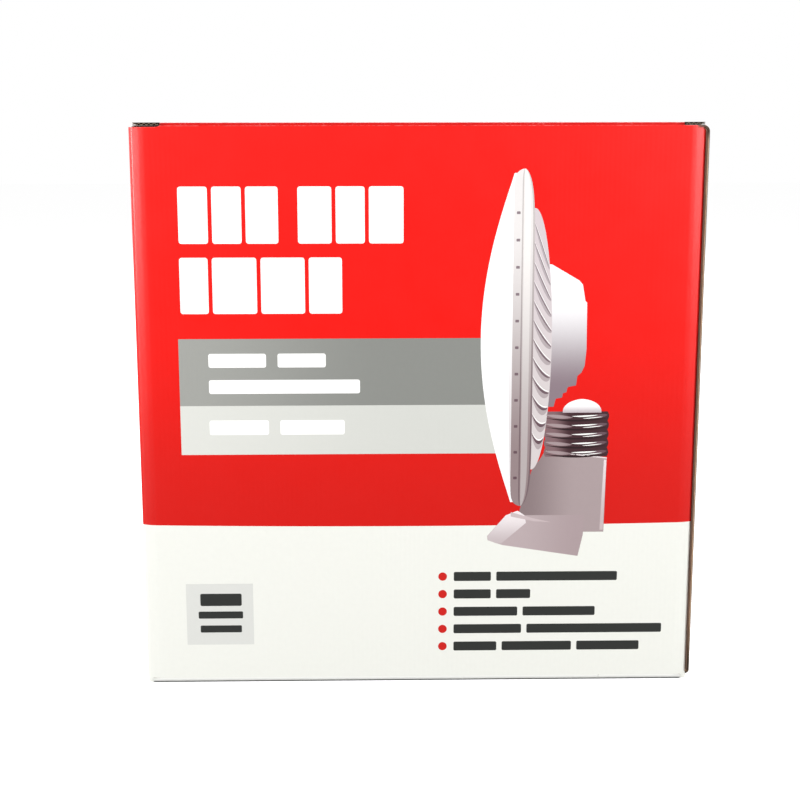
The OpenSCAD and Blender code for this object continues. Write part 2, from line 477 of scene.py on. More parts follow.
@dataclass
class BoardStrip:
    """Corrugated board that follows a fold path, cut along two edges.

    Bow gives how far it bows inwards, and joined tells where an edge is no cut but runs on into
    the next strip. Both are functions of arc length and third coordinate.
    """

    sizes: Sizes
    path: FoldPath
    view: View
    low: Curve
    high: Curve
    flutes: Flutes
    step: float = 8.0 * MM
    bend_steps: int = 8
    cuts: Sequence[float] = ()
    rows: int = 12
    turned: bool = False
    phase: float = 0.0
    paper: float = 0.16 * MM
    bow: Field | None = None
    joined: Field | None = None
    wave_steps: int = 8
    edge_rows: tuple[float, ...] = (0.35 * MM, 0.9 * MM, 2.0 * MM)
    fold_rub: float = 0.8
    fold_spread: float = 0.7
    edge_rub: float = 0.6 * MM
    widest_rubbed_radius: float = 10.0 * MM

    def _grid(self, s: np.ndarray, w: np.ndarray, depth: np.ndarray) -> np.ndarray:
        """Places points under the board's outer face.

        A point is the path at s, less its outward normal times depth, carried out to w.

        Args:
            s: Arc lengths of the grid's rows.
            w: Third coordinate over the grid.
            depth: Depth under the outer face, over the grid.

        Returns:
            The points, rows x columns x 3.
        """
        points, normals = self.path.at(s)
        flat = points[:, None, :] - normals[:, None, :] * depth[..., None]
        grid = np.empty(w.shape + (3,))
        first, second, third = self.view.value
        grid[..., first] = flat[..., 0]
        grid[..., second] = flat[..., 1]
        grid[..., third] = w
        return grid

    def sheet(self, s: np.ndarray, t: np.ndarray, top: float, wave: float, thick: float) -> Shell:
        """One layer of the board as a closed shell.

        The layer's middle lies at depth top + thick / 2, plus wave times
        cos(2 pi u / pitch + phase), where u is the distance across the flutes.

        Args:
            s: Arc lengths of the grid's rows.
            t: Share of the way from the low to the high edge, for the grid's columns.
            top: Depth of the layer's outer face where the wave is zero.
            wave: Height of the wave, or 0 for a flat layer.
            thick: Thickness of the layer.

        Returns:
            The closed shell.
        """
        low, high = self.low(s)[:, None], self.high(s)[:, None]
        w = low + (high - low) * t[None, :]
        along = np.broadcast_to(s[:, None], w.shape)
        across = along if self.flutes is Flutes.ACROSS_PATH else w
        uv = np.stack([across, w if self.flutes is Flutes.ACROSS_PATH else along], -1)
        depth = top + wave * np.cos(2.0 * math.pi * across / self.sizes.pitch + self.phase)
        if self.bow is not None:
            depth = depth + self.bow(along, w)
        outer, inner = self._grid(s, w, depth), self._grid(s, w, depth + thick)
        wear = self._wear(s, along, w, low, high)
        shell = Shell.between(outer, inner, uv, flip=not self.view.turns_left, wear=wear)
        return shell.half_turn() if self.turned else shell

    def _wear(
        self, s: np.ndarray, along: np.ndarray, w: np.ndarray, low: np.ndarray, high: np.ndarray
    ) -> np.ndarray:
        """How rubbed the board is.

        It is fold_rub in the middle of a tight fold and falls off to both sides, and
        exp(-d / edge_rub) at a distance d from a cut edge. The larger of the two holds.

        Args:
            s: Arc lengths of the grid's rows.
            along: Arc lengths over the grid.
            w: Third coordinate over the grid.
            low: The low cut edge, one row each.
            high: The high cut edge, one row each.

        Returns:
            The wear over the grid.
        """
        folded = np.zeros_like(s)
        for part in self.path.segments:
            if part.curvature * self.widest_rubbed_radius > 1.0:
                middle = part.start + part.length / 2
                fall = np.abs(s - middle) / (part.length * self.fold_spread)
                folded = np.maximum(folded, self.fold_rub - np.clip(fall, 0.0, self.fold_rub))
        nearest = np.minimum(np.abs(w - low), np.abs(high - w))
        ends = np.minimum(along, self.path.length - along)
        edge = np.exp(-np.minimum(nearest, ends) / self.edge_rub)
        if self.joined is not None:
            edge = np.where(self.joined(along, w), 0.0, edge)
        return np.maximum(folded[:, None], edge)

    def printed(self) -> Shell:
        """The printed liner outside."""
        return self._flat_layer(0.0, self.sizes.printed_liner)

    def kraft(self) -> Shell:
        """The kraft liner inside."""
        return self._flat_layer(self.sizes.thick - self.sizes.kraft_liner, self.sizes.kraft_liner)

    def _flat_layer(self, top: float, thick: float) -> Shell:
        """A flat liner, with close columns beside its cut edges.

        Args:
            top: Depth of its outer face.
            thick: Its thickness.

        Returns:
            The closed shell.
        """
        s = self.path.samples(self.step, self.bend_steps, self.cuts)
        width = float(np.max(self.high(s) - self.low(s)))
        close = np.array(self.edge_rows) / width
        t = np.unique(np.concatenate([np.linspace(0.0, 1.0, self.rows + 1), close, 1.0 - close]))
        return self.sheet(s, t, top, 0.0, thick)

    def fluting(self) -> Shell:
        """The wavy paper between the liners, which touches both at its crests.

        Returns:
            The closed shell.
        """
        size = self.sizes
        room = size.thick - size.printed_liner - size.kraft_liner - self.paper
        top = size.printed_liner + room / 2
        if self.flutes is Flutes.ACROSS_PATH:
            count = math.ceil(self.path.length / size.pitch * self.wave_steps)
            fine = np.linspace(0.0, self.path.length, count + 1)
            pairs = [np.array([c - EPS, c + EPS]) for c in self.cuts]
            s = np.unique(np.round(np.concatenate([fine] + pairs), DECIMALS))
            t = np.linspace(0.0, 1.0, self.rows + 1) if self.bow else np.array([0.0, 1.0])
        else:
            s = self.path.samples(self.step * 2, self.bend_steps, self.cuts)
            width = float(np.max(self.high(s) - self.low(s)))
            t = np.linspace(0.0, 1.0, math.ceil(width / size.pitch * self.wave_steps) + 1)
        return self.sheet(s, t, top, room / 2, self.paper)


def add_board(
    name: str,
    body: str,
    strips: Sequence[BoardStrip],
    printed: Sequence[Material],
    fluting: Sequence[Material],
    kraft: Sequence[Material],
    glued: Sequence[Shell] = (),
) -> None:
    """Adds the three layers of one or more strips of board as three pieces.

    Args:
        name: The name that the pieces share.
        body: The CAD body that carries them.
        strips: The strips.
        printed: Materials of the printed liner.
        fluting: Materials of the wave.
        kraft: Materials of the kraft liner.
        glued: Further shells that go with the printed liner.
    """
    outside = [strip.printed() for strip in strips] + list(glued)
    add_piece(f"{name}_liner", outside, printed, body)
    add_piece(f"{name}_fluting", [strip.fluting() for strip in strips], fluting, body)
    add_piece(f"{name}_kraft", [strip.kraft() for strip in strips], kraft, body)


class Nodes:
    """Short helpers that add and join the nodes of one tree."""

    def __init__(self, tree: bpy.types.NodeTree) -> None:
        """Keeps the tree that the nodes go into."""
        self.tree = tree

    def add(self, kind: str, **values: object) -> bpy.types.Node:
        """Adds a node and sets its properties.

        Args:
            kind: The node's type.
            values: Properties by name.

        Returns:
            The new node.
        """
        node = self.tree.nodes.new(kind)
        for key, value in values.items():
            setattr(node, key, value)
        return node

    def link(self, source: Socket, target: Socket) -> None:
        """Joins an output to an input."""
        self.tree.links.new(source, target)

    def feed(self, socket: Socket, value: object) -> None:
        """Gives an input its value.

        Args:
            socket: The input.
            value: An output to link to it, or a constant.
        """
        if isinstance(value, Socket):
            self.link(value, socket)
        else:
            socket.default_value = value

    def math(self, operation: str, *values: object) -> Socket:
        """Adds a Math node.

        Args:
            operation: The node's operation.
            values: Its two or three inputs, as outputs of other nodes or constants.

        Returns:
            The result.
        """
        node = self.add("ShaderNodeMath", operation=operation)
        for socket, value in zip(node.inputs, values):
            self.feed(socket, value)
        return node.outputs[0]

    def mix(self, share: object, first: object, second: object) -> Socket:
        """Mixes two colours.

        Args:
            share: How much of the second there is, from 0 to 1.
            first: The colour at share 0.
            second: The colour at share 1.

        Returns:
            The mixed colour.
        """
        node = self.add("ShaderNodeMix", data_type="RGBA")
        for place, value in ((0, share), (6, first), (7, second)):
            self.feed(node.inputs[place], value)
        return node.outputs[2]

    def ramp(self, value: object, low: float, high: float) -> Socket:
        """Maps a value smoothly to a share.

        Args:
            value: The value.
            low: Where the share is 0.
            high: Where the share is 1.

        Returns:
            The share.
        """
        node = self.add("ShaderNodeMapRange", interpolation_type="SMOOTHSTEP")
        self.feed(node.inputs[0], value)
        node.inputs[1].default_value = low
        node.inputs[2].default_value = high
        return node.outputs[0]

    def noise(self, place: Socket, scale: float, detail: float = 2.0) -> Socket:
        """Noise from 0 to 1.

        Args:
            place: Where it is read.
            scale: Its waves for each unit of place.
            detail: How many finer layers it has.

        Returns:
            The noise.
        """
        node = self.add("ShaderNodeTexNoise")
        self.link(place, node.inputs["Vector"])
        node.inputs["Scale"].default_value = scale
        node.inputs["Detail"].default_value = detail
        return node.outputs["Fac"]

    def axes(self, place: Socket) -> list[Socket]:
        """Splits a place into its coordinates.

        Args:
            place: The place.

        Returns:
            Its X, Y and Z.
        """
        node = self.add("ShaderNodeSeparateXYZ")
        self.link(place, node.inputs[0])
        return list(node.outputs)

    def stretched(self, place: Socket, scale: Colour) -> Socket:
        """Scales each axis of a place on its own.

        Args:
            place: The place.
            scale: The three factors.

        Returns:
            The scaled place.
        """
        node = self.add("ShaderNodeMapping")
        self.link(place, node.inputs["Vector"])
        node.inputs["Scale"].default_value = scale
        return node.outputs["Vector"]


def new_group(
    name: str, inputs: dict[str, float], outputs: dict[str, str]
) -> tuple[bpy.types.NodeTree, Nodes]:
    """Starts a shader node group.

    Args:
        name: The group's name.
        inputs: Number inputs with their usual values.
        outputs: Outputs with their socket types.

    Returns:
        The group and its node helper.
    """
    tree = bpy.data.node_groups.new(name, "ShaderNodeTree")
    for key, value in inputs.items():
        tree.interface.new_socket(key, in_out="INPUT", socket_type="NodeSocketFloat").default_value = value
    for key, kind in outputs.items():
        tree.interface.new_socket(key, in_out="OUTPUT", socket_type=kind)
    return tree, Nodes(tree)


class BoardRelief:
    """Shader group for the board's surface: flute ghosts, paper grain and slow dents, as a height."""

    patch_scale: float = 26.0
    patch_share: float = 0.9
    patch_least: float = 0.55
    grain_scale: float = 2600.0
    dent_scale: float = 14.0

    def __init__(self, sizes: Sizes) -> None:
        """Builds the group, whose three inputs are heights in mm and whose output is in metres.

        Height = ghost patch cos(2 pi u / pitch) + grain noise + dents noise, with u across the
        flutes, and patch = least + share noise.

        Args:
            sizes: The carton's sizes, for the flutes' pitch.
        """
        heights = {"Ghost": 0.004, "Grain": 0.003, "Dents": 0.05}
        self.tree, n = new_group("board_relief", heights, {"Height": "NodeSocketFloat"})
        given = n.add("NodeGroupInput").outputs
        across = n.axes(n.add("ShaderNodeUVMap", uv_map="flutes").outputs[0])[0]
        phase = n.math("MULTIPLY", across, 2.0 * math.pi / sizes.pitch)
        place = n.add("ShaderNodeTexCoord").outputs["Object"]
        patches = n.noise(place, self.patch_scale, 1.0)
        patch = n.math("MULTIPLY_ADD", patches, self.patch_share, self.patch_least)
        ghost = n.math("MULTIPLY", n.math("COSINE", phase), n.math("MULTIPLY", patch, given["Ghost"]))
        grain = n.math("MULTIPLY", n.noise(place, self.grain_scale, 3.0), given["Grain"])
        dents = n.math("MULTIPLY", n.noise(place, self.dent_scale, 1.5), given["Dents"])
        total = n.math("ADD", n.math("ADD", ghost, grain), dents)
        out = n.add("NodeGroupOutput")
        n.link(n.math("MULTIPLY", total, MM), out.inputs["Height"])


class FoldWear:
    """Shader group for rubbed ink and paper: a mask of fine flecks along folds and cut edges."""

    fleck_scale: float = 900.0
    fleck_share: float = 0.8
    cloud_scale: float = 45.0
    cloud_share: float = 0.5
    span: tuple[float, float] = (1.45, 1.75)

    def __init__(self) -> None:
        """Builds the group: mask = amount times a smooth step of wear + flecks + clouds over the span."""
        self.tree, n = new_group("fold_wear", {"Amount": 0.5}, {"Mask": "NodeSocketFloat"})
        given = n.add("NodeGroupInput").outputs
        wear = n.add("ShaderNodeAttribute", attribute_name="wear").outputs["Fac"]
        place = n.add("ShaderNodeTexCoord").outputs["Object"]
        clouds = n.math("MULTIPLY", n.noise(place, self.cloud_scale, 2.0), self.cloud_share)
        flecks = n.math("MULTIPLY_ADD", n.noise(place, self.fleck_scale, 5.0), self.fleck_share, clouds)
        mask = n.ramp(n.math("ADD", wear, flecks), *self.span)
        out = n.add("NodeGroupOutput")
        n.link(n.math("MULTIPLY", mask, given["Amount"]), out.inputs["Mask"])


@dataclass(frozen=True)
class Effects:
    """The shader groups that every finish shares."""

    relief: BoardRelief
    wear: FoldWear


@dataclass(frozen=True)
class Finish:
    """A surface finish of the board or the ink.

    Ghost, grain and dents are heights in mm. Mottle is how far the colour strays, and worn is how
    strongly the rubbed flecks show.
    """

    name: str
    colour: Colour
    roughness: float
    ior: float = 1.5
    ghost: float = 0.004
    grain: float = 0.003
    dents: float = 0.05
    mottle: float = 0.03
    worn: float = 0.0
    worn_colour: Colour = (0.86, 0.80, 0.76)
    worn_roughness: float = 0.4
    spot_scale: float = 420.0
    gloss_scale: float = 60.0
    gloss_spread: float = 0.06

    def material(self, effects: Effects) -> Material:
        """Builds the material: its tint, mottled and rubbed colour, uneven gloss and the relief.

        Args:
            effects: The shared shader groups.

        Returns:
            The material.
        """
        made = bpy.data.materials.new(self.name)
        made.use_nodes = True
        made.diffuse_color = (*self.colour, 1.0)
        n = Nodes(made.node_tree)
        shader = made.node_tree.nodes["Principled BSDF"]
        place = n.add("ShaderNodeTexCoord").outputs["Object"]
        shader.inputs["IOR"].default_value = self.ior
        tint = self.tint(n, place)
        spots = n.math("SUBTRACT", n.noise(place, self.spot_scale, 4.0), 0.5)
        value = n.math("MULTIPLY_ADD", spots, 2.0 * self.mottle, 1.0)
        shade = n.add("ShaderNodeHueSaturation")
        n.link(value, shade.inputs["Value"])
        n.feed(shade.inputs["Color"], tint)
        rubbed = n.add("ShaderNodeGroup", node_tree=effects.wear.tree)
        rubbed.inputs["Amount"].default_value = self.worn
        colour = n.mix(rubbed.outputs[0], shade.outputs[0], (*self.worn_colour, 1.0))
        n.link(colour, shader.inputs["Base Color"])
        gloss = n.math("SUBTRACT", n.noise(place, self.gloss_scale, 2.0), 0.5)
        uneven = n.math("MULTIPLY_ADD", gloss, self.gloss_spread, self.roughness)
        rough = n.math("MULTIPLY_ADD", rubbed.outputs[0], self.worn_roughness, uneven)
        n.link(rough, shader.inputs["Roughness"])
        group = n.add("ShaderNodeGroup", node_tree=effects.relief.tree)
        group.inputs["Ghost"].default_value = self.ghost
        group.inputs["Grain"].default_value = self.grain
        group.inputs["Dents"].default_value = self.dents
        bump = n.add("ShaderNodeBump")
        bump.inputs["Strength"].default_value = 1.0
        bump.inputs["Distance"].default_value = 1.0
        n.link(group.outputs[0], bump.inputs["Height"])
        n.link(bump.outputs[0], shader.inputs["Normal"])
        return made

    def tint(self, n: Nodes, place: Socket) -> object:
        """The colour before mottling, as a constant or a socket."""
        return (*self.colour, 1.0)


@dataclass(frozen=True)
class TwoFieldPrint(Finish):
    """A coated print with a field of ink above a height and bare coated paper below it."""

    # Painted shade: the red darkens to this colour towards the low end of the span
    shaded_low_red: Colour = (0.59, 0.0072, 0.0044)
    shade_span: tuple[float, float] = (80.0 * MM, 190.0 * MM)
    below: Colour = (0.77, 0.775, 0.725)
    split: float = 79.3 * MM
    rise: float = 0.075

    def tint(self, n: Nodes, place: Socket) -> Socket:
        """The ink above z = split + rise x^2, painted darker at its low end as shade, and the paper below.

        Args:
            n: The helper of the material's nodes.
            place: Object coordinates.

        Returns:
            The colour.
        """
        x, _, z = n.axes(place)
        curve = n.math("MULTIPLY", n.math("MULTIPLY", x, x), self.rise)
        above = n.math("GREATER_THAN", n.math("SUBTRACT", z, curve), self.split)
        ink = n.mix(n.ramp(z, *self.shade_span), (*self.shaded_low_red, 1.0), (*self.colour, 1.0))
        return n.mix(above, (*self.below, 1.0), ink)


@dataclass(frozen=True)
class KraftPaper(Finish):
    """Uncoated brown paper with fine fibres that lie across the flutes."""

    fibre: Colour = (0.33, 0.21, 0.12)
    pale: Colour = (0.60, 0.44, 0.29)
    dark_stretch: Colour = (0.14, 1.0, 1.0)
    dark_scale: float = 3600.0
    dark_span: tuple[float, float] = (0.55, 0.74)
    dark_share: float = 0.5
    pale_stretch: Colour = (0.2, 1.0, 1.0)
    pale_scale: float = 2300.0
    pale_span: tuple[float, float] = (0.60, 0.80)
    pale_share: float = 0.35
    cloud_scale: float = 38.0
    cloud_span: tuple[float, float] = (0.35, 0.70)
    cloud_share: float = 0.22

    def tint(self, n: Nodes, place: Socket) -> Socket:
        """Brown with short dark and pale fibres and slow cloudy patches.

        Args:
            n: The helper of the material's nodes.
            place: Object coordinates.

        Returns:
            The colour.
        """
        sheet = n.add("ShaderNodeUVMap", uv_map="flutes").outputs[0]
        dark = n.ramp(n.noise(n.stretched(sheet, self.dark_stretch), self.dark_scale, 4.0), *self.dark_span)
        light = n.ramp(n.noise(n.stretched(sheet, self.pale_stretch), self.pale_scale, 3.0), *self.pale_span)
        clouds = n.ramp(n.noise(place, self.cloud_scale, 3.0), *self.cloud_span)
        base = n.mix(n.math("MULTIPLY", clouds, self.cloud_share), (*self.colour, 1.0), (*self.fibre, 1.0))
        dotted = n.mix(n.math("MULTIPLY", dark, self.dark_share), base, (*self.fibre, 1.0))
        return n.mix(n.math("MULTIPLY", light, self.pale_share), dotted, (*self.pale, 1.0))


@dataclass(frozen=True)
class StandingBoard(Finish):
    """Bare coated paper, with painted contact shade along the two folds that the carton stands on."""

    # Colour of the painted contact shade at the standing folds
    contact_shade: Colour = (0.050, 0.053, 0.050)
    reach: tuple[float, float] = (44.2 * MM, 45.4 * MM)
    height: tuple[float, float] = (1.6 * MM, 0.9 * MM)

    def tint(self, n: Nodes, place: Socket) -> Socket:
        """Paper white, with painted shade where the fold is both far out along Y and low along Z.

        Args:
            n: The helper of the material's nodes.
            place: Object coordinates.

        Returns:
            The colour.
        """
        _, y, z = n.axes(place)
        outside = n.ramp(n.math("ABSOLUTE", y), *self.reach)
        # Mask of the painted contact shade, held in rubbed
        rubbed = n.math("MULTIPLY", outside, n.ramp(z, *self.height))
        return n.mix(rubbed, (*self.colour, 1.0), (*self.contact_shade, 1.0))


@dataclass(frozen=True)
class SeamKraft(KraftPaper):
    """Kraft paper darkened by painted shade beside the open seam at the front."""

    # Colour of the painted shade in the seam's groove
    groove_shade: Colour = (0.16, 0.085, 0.060)
    groove_shade_span: tuple[float, float] = (-45.2 * MM, -47.0 * MM)

    def tint(self, n: Nodes, place: Socket) -> Socket:
        """Kraft brown that darkens smoothly along Y across the painted shade's span."""
        groove_shade_share = n.ramp(n.axes(place)[1], *self.groove_shade_span)
        return n.mix(groove_shade_share, super().tint(n, place), (*self.groove_shade, 1.0))


@dataclass(frozen=True)
class SeamFluting(KraftPaper):
    """The fluting that shows in the open seam, with painted shade at both ends and dirt at its foot."""

    # Colour of the painted shade at the seam's ends, held in crushed
    crushed: Colour = (0.055, 0.034, 0.024)
    top_shade_span: tuple[float, float] = (260.0 * MM, 267.0 * MM)
    foot_shade_span: tuple[float, float] = (34.0 * MM, 6.0 * MM)

    def tint(self, n: Nodes, place: Socket) -> Socket:
        """Kraft brown that darkens smoothly along Z towards both ends, as painted shade.

        Args:
            n: The helper of the material's nodes.
            place: Object coordinates.

        Returns:
            The colour.
        """
        z = n.axes(place)[2]
        ends = n.math("ADD", n.ramp(z, *self.top_shade_span), n.ramp(z, *self.foot_shade_span))
        return n.mix(ends, super().tint(n, place), (*self.crushed, 1.0))


@dataclass(frozen=True)
class ShadedInk(Finish):
    """Ink that shades from one colour to another along one axis: printed shading, and on the lid painted
    shade.
    """

    other: Colour = (0.5, 0.5, 0.5)
    axis: int = 2
    span: tuple[float, float] = (0.0, 1.0)

    def tint(self, n: Nodes, place: Socket) -> Socket:
        """The first colour where the span starts, the other where it ends, and smooth between."""
        share = n.ramp(n.axes(place)[self.axis], *self.span)
        return n.mix(share, (*self.colour, 1.0), (*self.other, 1.0))


class Palette:
    """All finishes of the carton, built once."""

    def __init__(self, sizes: Sizes) -> None:
        """Builds the shared groups and every material.

        Args:
            sizes: The carton's sizes.
        """
        shared = Effects(BoardRelief(sizes), FoldWear())
        red = (0.78, 0.0052, 0.0024)
        brown = (0.47, 0.32, 0.20)
        gloss = 0.33

        def ink(name: str, colour: Colour) -> Material:
            """A flat coated ink of one colour."""
            return Finish(name, colour, gloss, mottle=0.012).material(shared)

        def shaded(
            name: str, colour: Colour, other: Colour, axis: int, span: tuple[float, float]
        ) -> Material:
            """A coated ink that shades along an axis.

            Args:
                name: The material's name.
                colour: The colour where the span starts.
                other: The colour where it ends.
                axis: 0 for X, 1 for Y and 2 for Z.
                span: The two places on the axis, in mm.

            Returns:
                The material.
            """
            ends = (span[0] * MM, span[1] * MM)
            finish = ShadedInk(name, colour, gloss, mottle=0.012, other=other, axis=axis, span=ends)
            return finish.material(shared)

        # The front's red carries painted shade, darker towards the white field
        self.print = TwoFieldPrint("two_field_print", red, gloss, mottle=0.02, worn=0.22).material(shared)
        # The lid's red is painted darker towards its front fold, as shade
        self.shaded_lid_print = ShadedInk(
            "shaded_lid_print", red, gloss, mottle=0.02, worn=0.22,
            other=(0.62, 0.006, 0.0035), axis=1, span=(40.0 * MM, -36.0 * MM),
        ).material(shared)
        # Painted contact shade darkens the folds this paper stands on
        self.coated = StandingBoard(
            "bare_coated_paper_contact_shade", (0.88, 0.885, 0.85), 0.36, worn=0.2
        ).material(shared)
        self.core = Finish(
            "liner_cut_edge", (0.105, 0.068, 0.046), 0.8, grain=0.02, mottle=0.5
        ).material(shared)
        self.kraft = KraftPaper(
            "kraft_liner", brown, 0.82, ghost=0.02, grain=0.012, mottle=0.08
        ).material(shared)
        # Painted shade darkens this liner in the open seam
        self.seam_kraft = SeamKraft(
            "seam_kraft_liner_shaded", brown, 0.82, ghost=0.02, grain=0.012, mottle=0.08
        ).material(shared)
        # Painted shade darkens this fluting towards its top and bottom
        self.edge_kraft = SeamFluting(
            "seam_fluting_shaded", (0.52, 0.36, 0.26), 0.85, ghost=0.0, grain=0.02, mottle=0.2
        ).material(shared)
        self.kraft_core = KraftPaper(
            "kraft_cut_edge", (0.115, 0.075, 0.05), 0.9, ghost=0.0, grain=0.02, mottle=0.25,
            fibre=(0.07, 0.045, 0.03), pale=(0.20, 0.14, 0.095),
        ).material(shared)
        self.medium = KraftPaper(
            "fluting_paper", (0.20, 0.13, 0.085), 0.9, ghost=0.0, grain=0.02, mottle=0.25,
            fibre=(0.12, 0.08, 0.05), pale=(0.30, 0.21, 0.14),
        ).material(shared)
        # Painted near-black shade for the flute tunnels and the shoulders' cuts
        self.mouth = Finish(
            "flute_mouth", (0.040, 0.026, 0.019), 0.95, ghost=0.0, grain=0.02, mottle=0.3
        ).material(shared)
        self.crest = KraftPaper(
            "flute_crest", (0.28, 0.21, 0.145), 0.9, ghost=0.0, grain=0.02, mottle=0.25,
            fibre=(0.20, 0.14, 0.09), pale=(0.52, 0.43, 0.32),
        ).material(shared)
        self.white = ink("white_ink", (0.92, 0.92, 0.90))
        self.pale_grey = ink("pale_grey_ink", (0.645, 0.65, 0.62))
        self.text_grey = ink("text_grey_ink", (0.028, 0.030, 0.028))
        self.dot_red = ink("dot_red_ink", (0.55, 0.014, 0.011))
        self.dark_grey = shaded(
            "dark_grey_ink", (0.318, 0.321, 0.300), (0.232, 0.237, 0.221), 0, (-115, -15)
        )
        self.light_grey = shaded(
            "light_grey_ink", (0.642, 0.647, 0.608), (0.583, 0.590, 0.555), 0, (-115, 10)
        )
        self.lens = shaded("lens_ink", (0.93, 0.93, 0.93), (0.90, 0.90, 0.90), 2, (150, 90))
        self.lens_edge = shaded("lens_edge_ink", (0.90, 0.89, 0.89), (0.66, 0.62, 0.63), 2, (200, 110))
        self.rim = shaded("rim_ink", (0.74, 0.71, 0.70), (0.27, 0.205, 0.21), 2, (232, 110))
        self.rim_bright = shaded("rim_bright_ink", (0.80, 0.77, 0.75), (0.42, 0.37, 0.37), 2, (225, 110))
        self.rim_seam = shaded("rim_seam_ink", (0.52, 0.48, 0.47), (0.16, 0.11, 0.12), 2, (235, 120))
        self.fin_light = shaded("fin_light_ink", (0.60, 0.53, 0.55), (0.60, 0.55, 0.55), 2, (225, 120))
        self.fin_shade = shaded("fin_shade_ink", (0.42, 0.37, 0.39), (0.40, 0.34, 0.35), 2, (225, 120))
        self.fin_dark = shaded("fin_dark_ink", (0.24, 0.19, 0.21), (0.12, 0.07, 0.085), 2, (220, 115))
        self.housing = shaded("housing_ink", (0.90, 0.89, 0.90), (0.235, 0.178, 0.204), 2, (196, 146))
        self.metal = shaded("metal_ink", (0.20, 0.12, 0.13), (0.050, 0.020, 0.025), 0, (63, 72))
        self.metal_light = shaded("metal_light_ink", (0.34, 0.26, 0.27), (0.13, 0.075, 0.09), 0, (66, 78))
        self.metal_line = ink("metal_line_ink", (0.022, 0.010, 0.012))
        self.cap = shaded("cap_ink", (0.88, 0.87, 0.87), (0.45, 0.38, 0.41), 2, (139, 134))
        self.stand = shaded("stand_ink", (0.228, 0.173, 0.178), (0.362, 0.290, 0.295), 0, (50, 76))
        self.stand_pale = shaded("stand_pale_ink", (0.74, 0.66, 0.67), (0.52, 0.43, 0.44), 2, (118, 80))
        self.foot = shaded("foot_ink", (0.44, 0.36, 0.37), (0.37, 0.29, 0.30), 0, (45, 78))
        self.foot_pale = shaded("foot_pale_ink", (0.78, 0.72, 0.73), (0.50, 0.43, 0.44), 2, (86, 70))

    @property
    def printed_board(self) -> list[Material]:
        """Print outside, coated paper's back inside, its core at the cut."""
        return [self.print, self.core, self.core]

    @property
    def lid_board(self) -> list[Material]:
        """The lid's print with its painted shade outside, its core elsewhere."""
        return [self.shaded_lid_print, self.core, self.core]

    @property
    def kraft_board(self) -> list[Material]:
        """Kraft paper on both faces, and its darker core at the cut."""
        return [self.kraft, self.kraft, self.kraft_core]

    @property
    def seam_board(self) -> list[Material]:
        """The tube's kraft paper, with painted shade at its seam, and its darker core at the cut."""
        return [self.kraft, self.seam_kraft, self.kraft_core]

    @property
    def shoulder_board(self) -> list[Material]:
        """The lid's shaded print outside; painted near-black shade on its back and crushed cuts."""
        return [self.shaded_lid_print, self.mouth, self.mouth]

    @property
    def shoulder_kraft(self) -> list[Material]:
        """Kraft paper under the shoulders; painted near-black shade on its outer face and crushed cuts."""
        return [self.mouth, self.kraft, self.mouth]

    @property
    def shoulder_fluting(self) -> list[Material]:
        """Painted shade in the tunnels; pale fresh paper where the shoulders are cut through the flutes."""
        return [self.mouth, self.mouth, self.crest]

    @property
    def dust_fluting(self) -> list[Material]:
        """Painted shade in the tunnels, and brown paper at the cut."""
        return [self.mouth, self.mouth, self.medium]

    @property
    def bare_board(self) -> list[Material]:
        """Unprinted coated paper with painted contact shade outside, its core elsewhere."""
        return [self.coated, self.core, self.core]


@dataclass(frozen=True)
class EasedFold:
    """A square fold that is tight on one side and leads softly into the wide panel on the other."""

    tight_r: float
    ease_r: float = 25.0 * MM
    ease: float = math.radians(15.0)

    @property
    def tight(self) -> float:
        """The angle that the tight part turns."""
        return math.pi / 2 - self.ease

    @property
    def tight_length(self) -> float:
        """Arc length of the tight part."""
        return self.tight_r * self.tight

    @property
    def tight_reach(self) -> float:
        """How far the tight part reaches along the panel that the soft part leads into."""
        return self.tight_r * (1.0 - math.cos(self.tight))

    @property
    def side_reach(self) -> float:
        """Distance from the corner to the tight end: r sin b + R (1 - sin b)."""
        return self.tight_r * math.sin(self.tight) + self.ease_r * (1.0 - math.sin(self.tight))

    @property
    def face_reach(self) -> float:
        """Distance from the corner to the soft end: r (1 - cos b) + R cos b."""
        return self.tight_reach + self.ease_r * math.cos(self.tight)


